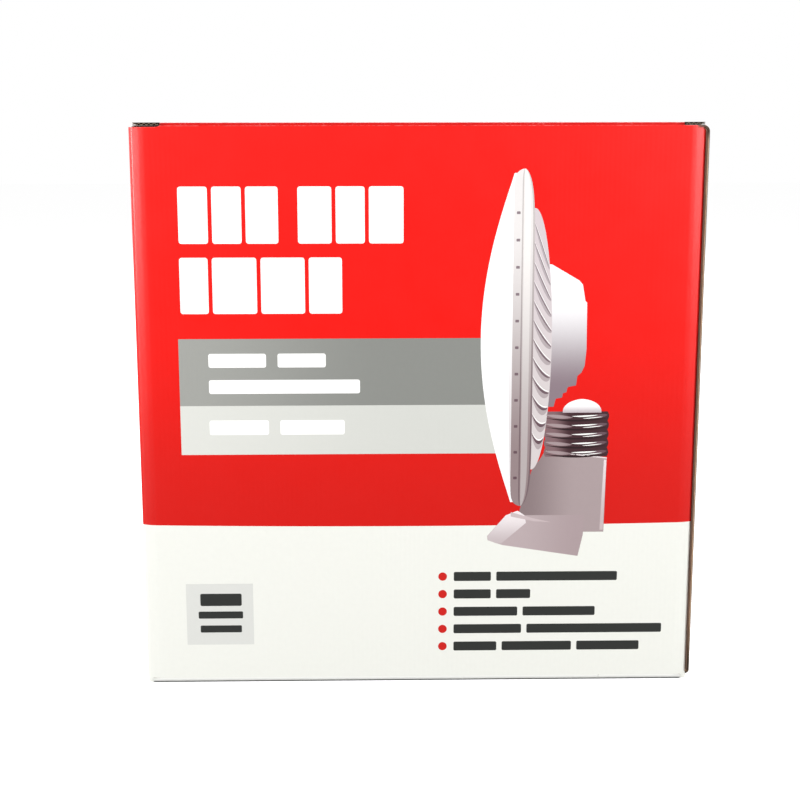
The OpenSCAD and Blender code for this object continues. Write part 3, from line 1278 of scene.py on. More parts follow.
@dataclass
class Tube:
    """The four panels, their upright folds and the glue tab, folded from one board."""

    sizes: Sizes
    palette: Palette
    bow_depth: float = 0.3 * MM
    corner_dip: float = 0.6 * MM
    dip_reach: float = 4.6 * MM
    dip_run: float = 1.2 * MM
    dip_rest: float = 0.8
    liner_rows: int = 36
    fluting_rows: int = 6
    left_fold: EasedFold = EasedFold(3.0 * MM)
    tab_fold: EasedFold = EasedFold(1.8 * MM)

    def __post_init__(self) -> None:
        """Draws the tube's outline, from the right panel's cut edge round to the glue tab."""
        z, left, tab = self.sizes, self.left_fold, self.tab_fold
        r, inset = z.fold_r, z.face_inset
        half_x, half_y = z.side_x - inset, z.side_y - inset
        path = FoldPath((half_x, z.edge_setback - z.side_y), math.pi / 2)
        self.ends: dict[str, tuple[float, float]] = {}

        def panel(name: str, length: float) -> None:
            """Adds a straight panel and notes where it lies on the path.

            Args:
                name: The panel's name.
                length: Its length.
            """
            first = path.length
            path.run(length)
            self.ends[name] = (first, path.length)

        panel("right", half_y + z.side_y - z.edge_setback - r)
        path.bend(r)
        panel("back", 2 * (half_x - r))
        path.bend(r)
        panel("left", 2 * half_y - r - left.side_reach)
        path.bend(left.tight_r, left.tight).bend(left.ease_r, left.ease)
        panel("front", half_x + z.tab_x - left.face_reach - tab.face_reach)
        path.bend(tab.ease_r, tab.ease).bend(tab.tight_r, tab.tight)
        panel("tab", z.tab_w - tab.side_reach + r)
        self.path = path
        self.front_shift = self.ends["front"][0] + half_x - left.face_reach
        self.dip_start = self.ends["front"][0] + self.dip_reach
        self.dip_end = self.dip_start + self.dip_run
        fold = r * math.pi / 2
        # Where the corner openings under the four upright folds meet the bottom folds
        self.feet = (
            self.ends["right"][1] + fold,
            self.ends["left"][0] - fold,
            self.ends["left"][1] + left.tight_length + r - inset - left.tight_reach,
            self.ends["tab"][0] - tab.tight_length - r + tab.tight_reach,
        )

    def bow(self, s: np.ndarray, w: np.ndarray) -> np.ndarray:
        """How far the panels bow inwards: depth times sin^2 across and sin^2 up each flat panel.

        Args:
            s: Arc lengths.
            w: Heights.

        Returns:
            The depths, in the same shape.
        """
        up = np.sin(math.pi * np.clip(w / self.sizes.front_top, 0.0, 1.0)) ** 2
        total = np.zeros_like(s)
        for name in ("right", "back", "left", "front"):
            first, last = self.ends[name]
            across = np.sin(math.pi * np.clip((s - first) / (last - first), 0.0, 1.0)) ** 2
            total += across * up
        return self.bow_depth * total

    def _lower_edge(self) -> Curve:
        """The lower cut edge.

        It ends where the bottom folds begin, and comes down to the corner gap on the upright folds.

        Returns:
            The edge's height as a function of arc length.
        """
        z, e = self.sizes, self.ends
        first, second, third, fourth = self.feet
        return stepped([
            (e["right"][1], z.panel_bottom, z.panel_bottom),
            (first, z.corner_gap, z.corner_gap),
            (second, z.fold_r, z.fold_r),
            (e["left"][0], z.corner_gap, z.corner_gap),
            (e["left"][1], z.panel_bottom, z.panel_bottom),
            (third, z.corner_gap, z.corner_gap),
            (fourth, z.fold_r, z.fold_r),
            (e["tab"][0], z.corner_gap, z.corner_gap),
            (e["tab"][1], z.panel_bottom, z.panel_bottom + z.tab_slant),
        ])

    def _upper_edge(self, back: float) -> Curve:
        """The upper cut edge, which dips beside the left fold, where the front is crushed.

        Args:
            back: Height of the back panel's edge.

        Returns:
            The edge's height as a function of arc length.
        """
        z, e = self.sizes, self.ends
        crushed = z.front_top - self.corner_dip
        rising = z.front_top - self.dip_rest * self.corner_dip
        return stepped([
            (e["right"][1], z.panel_top, z.panel_top),
            (e["left"][0], back, back),
            (e["left"][1], z.panel_top, z.panel_top),
            (self.dip_start, crushed, rising),
            (self.dip_end, rising, z.front_top),
            (e["tab"][0], z.front_top, z.front_top),
            (e["tab"][1], z.panel_top, z.panel_top - z.tab_slant),
        ])

    def front_face(self, x: np.ndarray, z: np.ndarray) -> np.ndarray:
        """Y of the front panel's printed face at x and z."""
        return self.sizes.face_inset - self.sizes.side_y + self.bow(self.front_phase(x), z)

    def front_phase(self, x: np.ndarray) -> np.ndarray:
        """Distance across the flutes at a place on the front panel."""
        return self.front_shift + x

    def build(self) -> None:
        """Adds the printed liner, the fluting and the kraft liner."""
        z, e = self.sizes, self.ends
        panels = [e["right"][1], e["left"][0], e["left"][1], e["tab"][0]]

        def under_lid(s: np.ndarray, w: np.ndarray) -> np.ndarray:
            """Where the back panel's print runs on into the lid's."""
            return (s > e["right"][1]) & (s < e["left"][0]) & (w > z.tail_end - z.tail_joint)

        liners = BoardStrip(
            z, self.path, View.PLAN, self._lower_edge(), self._upper_edge(z.tail_end), Flutes.ACROSS_PATH,
            step=6.0 * MM, cuts=[*panels, self.dip_start, self.dip_end, *self.feet],
            rows=self.liner_rows, phase=math.pi, bow=self.bow, joined=under_lid,
        )
        inside = replace(liners, high=self._upper_edge(z.back_top), rows=self.fluting_rows)
        p = self.palette
        liner = add_piece("tube_printed_liner", [liners.printed()], p.printed_board, "box")
        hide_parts("carton")
        add_piece("tube_fluting", [inside.fluting()], [p.edge_kraft], "box")
        add_piece("tube_kraft_liner", [liners.kraft()], p.seam_board, "box")


@dataclass
class SideFlaps:
    """The dust flaps under the lid and the small glued flaps in the bottom, on both sides."""

    sizes: Sizes
    palette: Palette

    def _dust(self, turned: bool) -> BoardStrip:
        """One dust flap with its fold, drawn on the right side and turned for the left.

        Args:
            turned: True for the left one.

        Returns:
            The flap's board.
        """
        z = self.sizes
        path = FoldPath((z.side_x - z.face_inset, z.panel_top), math.pi / 2).bend(z.fold_r - z.face_inset)
        fold = path.length
        free = path.run(z.dust_l - z.fold_r).length
        shoulder = z.left_shoulder if turned else z.right_shoulder
        root = (z.fold_r + z.cut_gap if turned else z.edge_setback) - z.side_y
        front = z.thick + z.dust_front_gap - z.side_y
        root_w = fold + z.lid_side_gap + shoulder - z.fold_r - z.cut_gap
        edge_s = [0.0, root_w - z.dust_root_slant, root_w, free]
        edge_y = [root, root, front, front]
        back_s = [0.0, fold, free]
        back_y = [z.fold_end, z.fold_end, z.fold_end - z.dust_slant]

        def near(s: np.ndarray) -> np.ndarray:
            """Front edge, with its round free corner."""
            return np.interp(s, edge_s, edge_y) + corner(s, free, z.dust_corner_r)

        def far(s: np.ndarray) -> np.ndarray:
            """Back edge, cut aslant towards the free end."""
            return np.interp(s, back_s, back_y)

        low, high = (lambda s: -far(s), lambda s: -near(s)) if turned else (near, far)
        return BoardStrip(
            z, path, View.FRONT, low, high, Flutes.ALONG_PATH, step=1.5 * MM, rows=10, turned=turned
        )

    def _minor(self, turned: bool) -> tuple[BoardStrip, Shell]:
        """One small bottom flap with its fold, and the glued triangle under it.

        Args:
            turned: True for the left one.

        Returns:
            The flap's board, and the triangle as a closed shell.
        """
        z = self.sizes
        reach = z.minor_l - z.fold_r
        start = z.side_x - z.fold_r - reach
        path = FoldPath((start, z.minor_z), 0.0).run(reach)
        path.bend(z.fold_r - z.face_inset)
        root = z.fold_r - z.side_y
        end = path.length
        raw = root if turned else z.edge_setback - z.side_y
        low_y = [root + reach, root, raw]
        high_y = [z.fold_end - z.minor_slant, z.fold_end, z.fold_end]
        s_knots = [0.0, reach, end]
        near: Curve = lambda s: np.interp(s, s_knots, low_y)
        far: Curve = lambda s: np.interp(s, s_knots, high_y)
        step, rows = 3.0 * MM, 8
        strip = BoardStrip(
            z, path, View.FRONT, near, far, Flutes.ALONG_PATH, step=step, rows=rows, turned=turned
        )
        flat = FoldPath((start, z.thick), 0.0).run(reach)
        tip = level(root + reach)
        under = BoardStrip(
            z, flat, View.FRONT, near, tip, Flutes.ALONG_PATH, step=step, rows=rows, turned=turned
        )
        # The triangle's tip has no width, so its first row is left out
        s = flat.samples(step)[1:]
        glued = under.sheet(s, np.linspace(0.0, 1.0, rows + 1), 0.0, 0.0, z.glued_t)
        return strip, glued

    def build(self) -> None:
        """Adds both dust flaps and both small bottom flaps."""
        p = self.palette
        for side, turned in (("right", False), ("left", True)):
            dust = self._dust(turned)
            minor, glued = self._minor(turned)
            add_board(f"dust_flap_{side}", "box", [dust], p.printed_board, p.dust_fluting, p.kraft_board)
            add_board(f"small_flap_{side}", "box", [minor], p.bare_board, [p.medium], p.kraft_board, [glued])


@dataclass
class LockedBottom:
    """The two large bottom flaps, whose hooks reach under each other's stepped edge."""

    sizes: Sizes
    palette: Palette
    slope: float = math.pi / 4
    slope_bend_r: float = 0.5 * MM
    slope_short: float = 1.2 * MM

    def _strips(self, turned: bool) -> list[BoardStrip]:
        """The pieces of one large flap: two plain ends, the hook and the stepped half.

        Args:
            turned: True for the flap on the back panel.

        Returns:
            The pieces' boards.
        """
        z = self.sizes
        fold_right = (z.side_x if turned else z.tab_x) - z.fold_r
        hook_end = z.minor_l - z.side_x + z.cut_gap
        lift = z.thick + z.loose_gap
        step_y = -z.hook_reach - z.cut_gap
        start = (z.face_inset - z.side_y, z.fold_r)
        quarter = math.pi / 2

        def flap(reach: float) -> FoldPath:
            """The fold at the front, then the flat flap.

            Args:
                reach: Y of the flap's free edge.

            Returns:
                The path.
            """
            path = FoldPath(start, -quarter).bend(z.fold_r - z.face_inset)
            y = path.at(np.array([path.length]))[0][0, 0]
            return path.run(reach - y)

        stepped_path = flap(step_y - lift).bend(self.slope_bend_r, self.slope)
        stepped_path.run(lift / math.sin(self.slope) - self.slope_short)
        rise = stepped_path.at(np.array([stepped_path.length]))[0][0]
        upper = FoldPath((float(rise[0]), lift), 0.0).run(z.catch_reach - float(rise[0]))
        parts = (
            (flap(-z.cut_gap / 2), z.fold_r - z.side_x, hook_end),
            (flap(z.hook_reach), hook_end, -z.cut_gap / 2),
            (stepped_path, -z.cut_gap / 2, -hook_end),
            (upper, -z.cut_gap / 2, -hook_end),
            (flap(-z.cut_gap / 2), -hook_end, fold_right),
        )
        return [
            BoardStrip(
                z, path, View.SIDE, level(first), level(last), Flutes.ALONG_PATH,
                step=6.0 * MM, rows=8, turned=turned,
            )
            for path, first, last in parts
        ]

    def build(self) -> None:
        """Adds both large flaps, half a turn apart."""
        p = self.palette
        for side, turned in (("front", False), ("back", True)):
            strips = self._strips(turned)
            add_board(f"large_flap_{side}", "box", strips, p.bare_board, [p.medium], p.kraft_board)


@dataclass
class Lid:
    """The hinged lid with its shoulders and tuck flap, and the crease that joins it to the back."""

    sizes: Sizes
    palette: Palette
    crease_r: float = 1.9 * MM
    tail_spare: float = 0.4 * MM
    tail_corner: float = 2.0 * MM
    bend_back: float = 3.4 * MM
    bend_down: float = 2.6 * MM
    shoulder_paper: float = 0.20 * MM

    def _section(self) -> tuple[FoldPath, float]:
        """The lid's outer face, from a tail on the back panel over the crease to the tuck's tip.

        Returns:
            The path, and the arc length where the tuck's fold begins.
        """
        z, r, inset = self.sizes, self.crease_r, self.sizes.face_inset
        path = FoldPath((z.side_y - inset, z.tail_end), math.pi / 2)
        path.run(z.top - inset - r - z.tail_end).bend(r)
        path.run(z.side_y - inset - r - (z.tuck_face_y + z.tuck_fold_r))
        plate_end = path.length
        path.bend(z.tuck_fold_r - inset, math.pi / 2 + z.tuck_lean)
        return path.run(z.tuck_l), plate_end

    def build(self) -> None:
        """Adds the lid's layers and its two shoulders."""
        z, p = self.sizes, self.palette
        path, plate_end = self._section()
        tip = path.length
        half, cut = z.lid_half, z.cut_gap / 2
        tail_half = z.side_x - z.fold_r
        wide = z.lid_tail + self.tail_spare
        left = stepped([
            (wide, -tail_half, -tail_half),
            (plate_end, -half, -half),
            (tip, z.tuck_left + cut, z.tuck_left + cut),
        ])
        right = stepped([
            (wide, tail_half, tail_half),
            (plate_end, half, half),
            (tip, z.tuck_right - cut, z.tuck_right - cut),
        ])
        low: Curve = lambda s: left(s) + corner(s, tip, z.tuck_corner_r)
        high: Curve = lambda s: right(s) - corner(s, tip, z.tuck_corner_r)

        def over_back(s: np.ndarray, w: np.ndarray) -> np.ndarray:
            """Where the lid's print runs on into the back panel's."""
            return (s < z.tail_joint) & (np.abs(w) < tail_half - self.tail_corner)

        strip = BoardStrip(
            z, path, View.SIDE, low, high, Flutes.ALONG_PATH,
            step=2.0 * MM, bend_steps=10, cuts=[wide, plate_end], rows=40, joined=over_back,
        )
        liner = add_piece("lid_printed_liner", [strip.printed()], p.lid_board, None)
        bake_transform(liner)
        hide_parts("lid")
        kraft = add_piece("lid_kraft_liner", [strip.kraft()], p.kraft_board, None)
        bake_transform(kraft)
        back = z.side_y - z.face_inset - self.crease_r
        front = z.tuck_face_y + z.tuck_fold_r
        plate = FoldPath((back, z.top - z.face_inset), math.pi)
        plate.run(back - front).bend(z.tuck_fold_r - z.face_inset, math.pi / 2 + z.tuck_lean).run(z.tuck_l)
        start = plate_end - (back - front)
        fluted = BoardStrip(
            z, plate, View.SIDE, lambda s: low(s + start), lambda s: high(s + start), Flutes.ALONG_PATH,
            step=4.0 * MM, cuts=[back - front],
        )
        add_piece("lid_fluting", [fluted.fluting()], [p.medium], "lid")
        shoulder = FoldPath((front, z.top - z.face_inset), math.pi)
        shoulder.run(front + z.side_y - z.shoulder_setback)
        for side, first, last in (("left", -half, z.tuck_left), ("right", z.tuck_right, half)):
            ear = BoardStrip(
                z, shoulder, View.SIDE, level(first), level(last), Flutes.ALONG_PATH,
                step=1.0 * MM, rows=4, paper=self.shoulder_paper,
            )
            add_board(
                f"lid_shoulder_{side}", "lid", [ear], p.shoulder_board, p.shoulder_fluting, p.shoulder_kraft
            )


class Layer(Enum):
    """How high a patch of ink lies above the printed face, in steps of one film."""

    FIELD = 1
    BODY = 2
    FRONT = 3
    MARK = 4
    GLINT = 5


@dataclass
class InkPatch:
    """A flat patch of ink between two edges.

    The patch runs from start to end on its main axis, which is Z where upright is True and X
    otherwise. The edges near and far give the other coordinate as functions of the main one.
    """

    start: float
    end: float
    near: Curve
    far: Curve
    upright: bool = True
    rows: int = 24
    columns: int = 6

    def shell(self, tube: Tube, layer: Layer) -> Shell:
        """Lays the patch on the front panel as a closed film.

        Rows are spaced as (1 - cos(pi t)) / 2, which follows round ends closely.

        Args:
            tube: The tube whose front panel carries the ink.
            layer: How high the film lies.

        Returns:
            The film as a closed shell.
        """
        t = (1.0 - np.cos(np.linspace(0.0, math.pi, self.rows + 1))) / 2.0
        u = np.linspace(0.0, 1.0, self.columns + 1)
        line = self.start + (self.end - self.start) * t
        main = np.broadcast_to(line[:, None], (len(t), len(u)))
        side = self.near(line)[:, None] * (1.0 - u) + self.far(line)[:, None] * u
        x, z = (side, main) if self.upright else (main, side)
        face = tube.front_face(x, z)
        outer = np.stack([x, face - FILM * layer.value, z], -1)
        inner = np.stack([x, face + FILM / 2, z], -1)
        uv = np.stack([tube.front_phase(x), z], -1)
        middle = len(t) // 2
        along, across = outer[middle + 1, 0] - outer[middle, 0], outer[middle, -1] - outer[middle, 0]
        return Shell.between(outer, inner, uv, flip=bool(np.cross(along, across)[1] > 0.0))


def bar(x: float, z: float, width: float, height: float, radius: float) -> InkPatch:
    """A bar with round corners.

    Args:
        x: Left end.
        z: Lower edge.
        width: Length along X.
        height: Length along Z.
        radius: Corner radius.

    Returns:
        The patch, whose ends draw in by r - sqrt(r^2 - d^2) within r of the top and bottom.
    """
    radius = min(radius, height / 2, width / 2)

    def inset(at: np.ndarray) -> np.ndarray:
        """How far the round corners draw in."""
        d = np.clip(radius - np.minimum(at - z, z + height - at), 0.0, radius)
        return radius - np.sqrt(np.maximum(radius**2 - d**2, 0.0))

    return InkPatch(z, z + height, lambda at: x + inset(at), lambda at: x + width - inset(at), rows=20)


def disc(x: float, z: float, radius: float) -> InkPatch:
    """A round dot, whose half width at a height is sqrt(r^2 - (height - z)^2)."""
    half: Curve = lambda at: np.sqrt(np.maximum(radius**2 - (at - z) ** 2, 0.0))
    return InkPatch(z - radius, z + radius, lambda at: x - half(at), lambda at: x + half(at), rows=24)


def knotted(knots: Sequence[tuple[float, float]]) -> Curve:
    """An edge that is straight between knots, each the main coordinate and the edge's place, in mm."""
    at, place = (np.array(values) * MM for values in zip(*knots))
    return lambda main: np.interp(main, at, place)


@dataclass
class PrintedMatter:
    """A part of the front's print: it lays patches of one ink as one piece."""

    tube: Tube
    palette: Palette

    def lay(self, name: str, patches: Sequence[InkPatch], ink: Material, layer: Layer) -> None:
        """Adds patches of one ink as one piece.

        Args:
            name: The piece's name.
            patches: The patches, which don't overlap.
            ink: Their finish.
            layer: How high they lie.
        """
        shells = [patch.shell(self.tube, layer) for patch in patches]
        add_piece(f"print_{name}", shells, [ink], "box")


@dataclass
class FrontPrint(PrintedMatter):
    """The bands, the small square, the dotted list and the plain blocks and bars."""

    left: float = -112.8 * MM
    right: float = 42.0 * MM
    block_height: float = 26.2 * MM
    block_gap: float = 1.9 * MM
    list_pitch: float = 8.87 * MM

    def blocks(self) -> None:
        """Two rows of plain white blocks, given by left end, lower edge and widths in mm."""
        rows = (
            (-111.2, 214.9, (13.6, 13.6, 15.0)),
            (-56.2, 214.9, (15.6, 13.4, 16.0)),
            (-111.3, 182.3, (13.2, 20.6, 20.4, 15.4)),
        )
        patches = []
        for left, bottom, widths in rows:
            x = left * MM
            for width in widths:
                patches.append(bar(x, bottom * MM, width * MM, self.block_height, 1.2 * MM))
                x += width * MM + self.block_gap
        self.lay("white_blocks", patches, self.palette.white, Layer.FIELD)

    def bands(self) -> None:
        """The dark and the light grey band, and the plain white bars on them."""
        width = self.right - self.left
        dark = bar(self.left, 138.6 * MM, width, 31.9 * MM, 0.0)
        light = bar(self.left, 115.0 * MM, width, 23.6 * MM, 0.0)
        self.lay("dark_band", [dark], self.palette.dark_grey, Layer.FIELD)
        self.lay("light_band", [light], self.palette.light_grey, Layer.FIELD)
        lines = (
            (-99.0, 156.9, 6.6, (27.0, 22.6)),
            (-99.0, 144.4, 6.6, (71.0,)),
            (-99.2, 124.6, 7.0, (28.0, 30.4)),
        )
        patches = []
        for start, bottom, height, widths in lines:
            x = start * MM
            for width in widths:
                patches.append(bar(x, bottom * MM, width * MM, height * MM, 1.0 * MM))
                x += (width + 5.4) * MM
        self.lay("band_bars", patches, self.palette.white, Layer.BODY)

    def square(self) -> None:
        """The small grey square with three short bars."""
        ground = bar(self.left, 20.1 * MM, 32.4 * MM, 30.9 * MM, 0.0)
        self.lay("small_square", [ground], self.palette.pale_grey, Layer.FIELD)
        patches = [
            bar(-106.0 * MM, 39.8 * MM, 20.0 * MM, 6.2 * MM, 0.8 * MM),
            bar(-107.0 * MM, 33.4 * MM, 21.5 * MM, 3.6 * MM, 0.6 * MM),
            bar(-106.2 * MM, 26.3 * MM, 20.0 * MM, 3.6 * MM, 0.6 * MM),
        ]
        self.lay("square_bars", patches, self.palette.text_grey, Layer.BODY)

    def list_lines(self) -> None:
        """Red dots, each with a line of plain dark bars, given by their widths in mm."""
        first, height = 53.9 * MM, 4.6 * MM
        lines = ((18.0, 58.6), (18.0, 16.6), (31.0, 35.2), (33.0, 66.0), (21.0, 34.0, 30.6))
        dots, bars = [], []
        for k, widths in enumerate(lines):
            middle = first - k * self.list_pitch
            dots.append(disc(11.4 * MM, middle, 2.1 * MM))
            x = 16.8 * MM
            for width in widths:
                bars.append(bar(x, middle - height / 2, width * MM, height, 0.7 * MM))
                x += (width + 2.6) * MM
        self.lay("list_dots", dots, self.palette.dot_red, Layer.FIELD)
        self.lay("list_bars", bars, self.palette.text_grey, Layer.FIELD)

    def build(self) -> None:
        """Adds every mark."""
        self.blocks()
        self.bands()
        self.square()
        self.list_lines()


@dataclass
class LampPicture(PrintedMatter):
    """A plain round lamp seen from its edge, drawn with simple shapes, standing on a block."""

    centre_z: float = 169.0 * MM
    rim_left: float = 43.6 * MM
    rim_right: float = 53.4 * MM
    rim_half: float = 80.0 * MM
    lens_side_power: int = 36
    fin_side_power: int = 9
    fin_count: int = 12
    fin_top: float = 224.0 * MM
    fin_pitch: float = 9.0 * MM
    fin_half: float = 62.0 * MM
    fin_depth: float = 8.8 * MM

    def lens(self) -> None:
        """The bulging lens: its depth is d (1 - s^2)^1.1, where s goes from -1 to 1 up its height."""
        depth, half, shade_depth, under_rim = 14.8 * MM, 78.0 * MM, 1.5 * MM, 1.2 * MM
        bulge: Curve = lambda z: np.maximum(1 - ((z - self.centre_z) / half) ** 2, 0)
        edge: Curve = lambda z: self.rim_left - depth * bulge(z) ** 1.1
        right: Curve = lambda z: np.full_like(z, self.rim_left + under_rim)
        self.lay("lens", [self.tall(half, edge, right)], self.palette.lens, Layer.BODY)
        shade: Curve = lambda z: self.rim_left - shade_depth * bulge(z)
        self.lay("lens_edge", [self.tall(half * 0.9, shade, right)], self.palette.lens_edge, Layer.FRONT)

    def tall(self, half: float, near: Curve, far: Curve) -> InkPatch:
        """A patch as high as twice half, about the lamp's middle."""
        return InkPatch(self.centre_z - half, self.centre_z + half, near, far, rows=72)

    def rim_width(self, z: np.ndarray, power: int) -> np.ndarray:
        """Half of the rim's width: w (1 - |s|^power)^0.6, with s from -1 to 1 up its height."""
        share = np.minimum(np.abs(z - self.centre_z) / self.rim_half, 1.0)
        return (self.rim_right - self.rim_left) / 2 * (1.0 - share**power) ** 0.6

    def rim_stripe(self, name: str, first: float, last: float, ink: Material, layer: Layer) -> None:
        """Lays a stripe along the rim, whose lens side is blunter than its fin side.

        Args:
            name: The piece's name.
            first: Its left edge as a share of the rim's half width, from -1 to 1.
            last: Its right edge in the same way.
            ink: Its finish.
            layer: How high it lies.
        """
        middle = (self.rim_left + self.rim_right) / 2
        near_power = self.lens_side_power if first < 0.0 else self.fin_side_power
        far_power = self.lens_side_power if last < 0.0 else self.fin_side_power
        near: Curve = lambda z: middle + first * self.rim_width(z, near_power)
        far: Curve = lambda z: middle + last * self.rim_width(z, far_power)
        self.lay(name, [self.tall(self.rim_half, near, far)], ink, layer)

    def rim(self) -> None:
        """The rim: a pale band, a seam, a bright band, a shaded edge, and a row of small marks."""
        inks = self.palette
        self.rim_stripe("rim", -1.0, 1.0, inks.rim, Layer.MARK)
        self.rim_stripe("rim_seam", -0.22, -0.1, inks.rim_seam, Layer.GLINT)
        self.rim_stripe("rim_bright", -0.02, 0.62, inks.rim_bright, Layer.GLINT)
        self.rim_stripe("rim_edge", 0.84, 1.0, inks.rim_seam, Layer.GLINT)
        pitch, count, shift = 12.6 * MM, 6, 0.3
        heights = [self.centre_z + (k - shift) * pitch for k in range(1 - count, count)]
        marks = [bar(self.rim_left + 1.3 * MM, z, 1.7 * MM, 1.3 * MM, 0.3 * MM) for z in heights]
        self.lay("rim_marks", marks, inks.fin_dark, Layer.GLINT)

    def fin_edge(self, z: np.ndarray) -> np.ndarray:
        """X of the fins' outer edge: half an ellipse behind the rim."""
        share = np.clip((z - self.centre_z) / self.fin_half, -1.0, 1.0)
        return self.rim_right + self.fin_depth * np.sqrt(1.0 - share**2)

    def fin_band(self, k: int, top: float, height: float) -> InkPatch:
        """A curved band across the fin ring.

        Its upper edge is z - drop t - 4 sag t (1 - t), with t from 0 at the rim to 1 outside. Its
        height is h sin(pi t)^0.5, so both ends close. The drop falls and the sag grows from the
        top fin to the lowest.

        Args:
            k: The fin's number from the top.
            top: How far below the fin's own line the band starts.
            height: The band's height.

        Returns:
            The patch.
        """
        share = k / self.fin_count
        z = self.fin_top - k * self.fin_pitch - top
        drop = (21.0 - 20.0 * share) * MM
        sag = (3.4 * share - 0.6) * MM
        left = self.rim_right
        right = float(self.fin_edge(np.array([z - drop]))[0]) - 0.2 * MM

        def line(x: np.ndarray) -> np.ndarray:
            """The band's upper edge."""
            t = (x - left) / (right - left)
            return z - drop * t - 4.0 * sag * t * (1.0 - t)

        def lower(x: np.ndarray) -> np.ndarray:
            """The band's lower edge."""
            t = np.clip((x - left) / (right - left), 0.0, 1.0)
            return line(x) - height * np.sin(math.pi * t) ** 0.5

        return InkPatch(left, right, lower, line, upright=False, rows=16, columns=2)

    def fins(self) -> None:
        """The finned ring: a pale ground, then for each fin a soft shade and a dark groove."""
        fins = range(self.fin_count)
        under_rim = 0.4 * MM
        ring = self.tall(self.fin_half, lambda z: np.full_like(z, self.rim_right - under_rim), self.fin_edge)
        self.lay("fin_ring", [ring], self.palette.fin_light, Layer.FRONT)
        shades = [self.fin_band(k, 0.0, (3.4 + 0.08 * k) * MM) for k in fins]
        self.lay("fin_shades", shades, self.palette.fin_shade, Layer.MARK)
        grooves = [self.fin_band(k, 0.0, (1.1 + 0.05 * k) * MM) for k in fins]
        self.lay("fin_grooves", grooves, self.palette.fin_dark, Layer.GLINT)
        edges = [self.fin_band(k, -0.7 * MM, 0.6 * MM) for k in fins]
        self.lay("fin_edges", edges, self.palette.white, Layer.GLINT)

    def housing(self) -> None:
        """The housing behind the fins: its outline steps in towards the base."""
        outline = knotted((
            (137.5, 63.6), (141.5, 64.6), (141.9, 67.6), (144.0, 67.9), (144.4, 69.6), (147.0, 70.0),
            (147.4, 74.0), (152.6, 74.6), (153.4, 76.2), (157.0, 77.9), (165.0, 78.6), (187.0, 78.4),
            (187.6, 77.6), (195.5, 76.2), (197.4, 74.6), (205.0, 61.6),
        ))
        inner: Curve = lambda z: self.fin_edge(z) - 0.2 * MM
        body = InkPatch(137.5 * MM, 205.0 * MM, inner, outline, rows=110)
        self.lay("housing", [body], self.palette.housing, Layer.BODY)

    def base(self) -> None:
        """The screw base: a dark ground that swells at each turn, with bright and dark threads."""
        inks = self.palette
        left, right, low, high = 60.0 * MM, 89.4 * MM, 113.2 * MM, 135.2 * MM
        turns, dip, swell_depth, overlap = 5, 1.3 * MM, 0.7 * MM, 0.6 * MM
        pitch = (high - low) / turns
        swell: Curve = lambda z: swell_depth * np.abs(np.sin(math.pi * (z - low) / pitch))
        ground = InkPatch(low, high, lambda z: left - swell(z), lambda z: right + swell(z), rows=80)
        self.lay("base", [ground], inks.metal, Layer.BODY)

        def thread(z: float, first: float, last: float, height: float) -> InkPatch:
            """A lens-shaped line across the base.

            It dips by 4 dip t (1 - t), with t from 0 to 1 across the base.

            Args:
                z: Height at the base's sides.
                first: Its left end as a share of the base's width.
                last: Its right end in the same way.
                height: How thick it is in its middle.

            Returns:
                The line's patch.
            """
            start, end = (left + share * (right - left) for share in (first, last))
            run: Curve = lambda x: np.clip((x - start) / (end - start), 0.0, 1.0)
            middle: Curve = lambda x: z + dip * (0.5 - (x - left) / (right - left)) ** 2 * 4.0 - dip
            half: Curve = lambda x: height / 2 * np.sin(math.pi * run(x)) ** 0.7
            return InkPatch(
                start, end, lambda x: middle(x) - half(x), lambda x: middle(x) + half(x),
                upright=False, columns=2,
            )

        rows = [low + (k + 0.62) * pitch for k in range(turns)]
        bands = [thread(z, 0.0, 0.44, 1.7 * MM) for z in rows]
        bands += [thread(z, 0.74, 1.0, 1.9 * MM) for z in rows]
        self.lay("base_bands", bands, inks.metal_light, Layer.FRONT)
        lines = [thread(z - 1.5 * MM, 0.0, 1.0, 0.8 * MM) for z in rows]
        self.lay("base_lines", lines, inks.metal_line, Layer.FRONT)
        glints = [thread(z + 0.6 * MM, 0.42, 0.84, 0.7 * MM) for z in rows]
        glints += [thread(z - 0.5 * MM, 0.6, 0.92, 0.4 * MM) for z in rows]
        self.lay("base_glints", glints, inks.white, Layer.MARK)
        centre, half, rise = 77.2 * MM, 9.2 * MM, 6.6 * MM
        foot = high - overlap
        arch: Curve = lambda z: half * np.maximum(1.0 - ((z - foot) / rise) ** 2.4, 0.0) ** 0.6
        cap = InkPatch(foot, foot + rise, lambda z: centre - arch(z), lambda z: centre + arch(z), rows=30)
        self.lay("base_cap", [cap], inks.cap, Layer.FRONT)

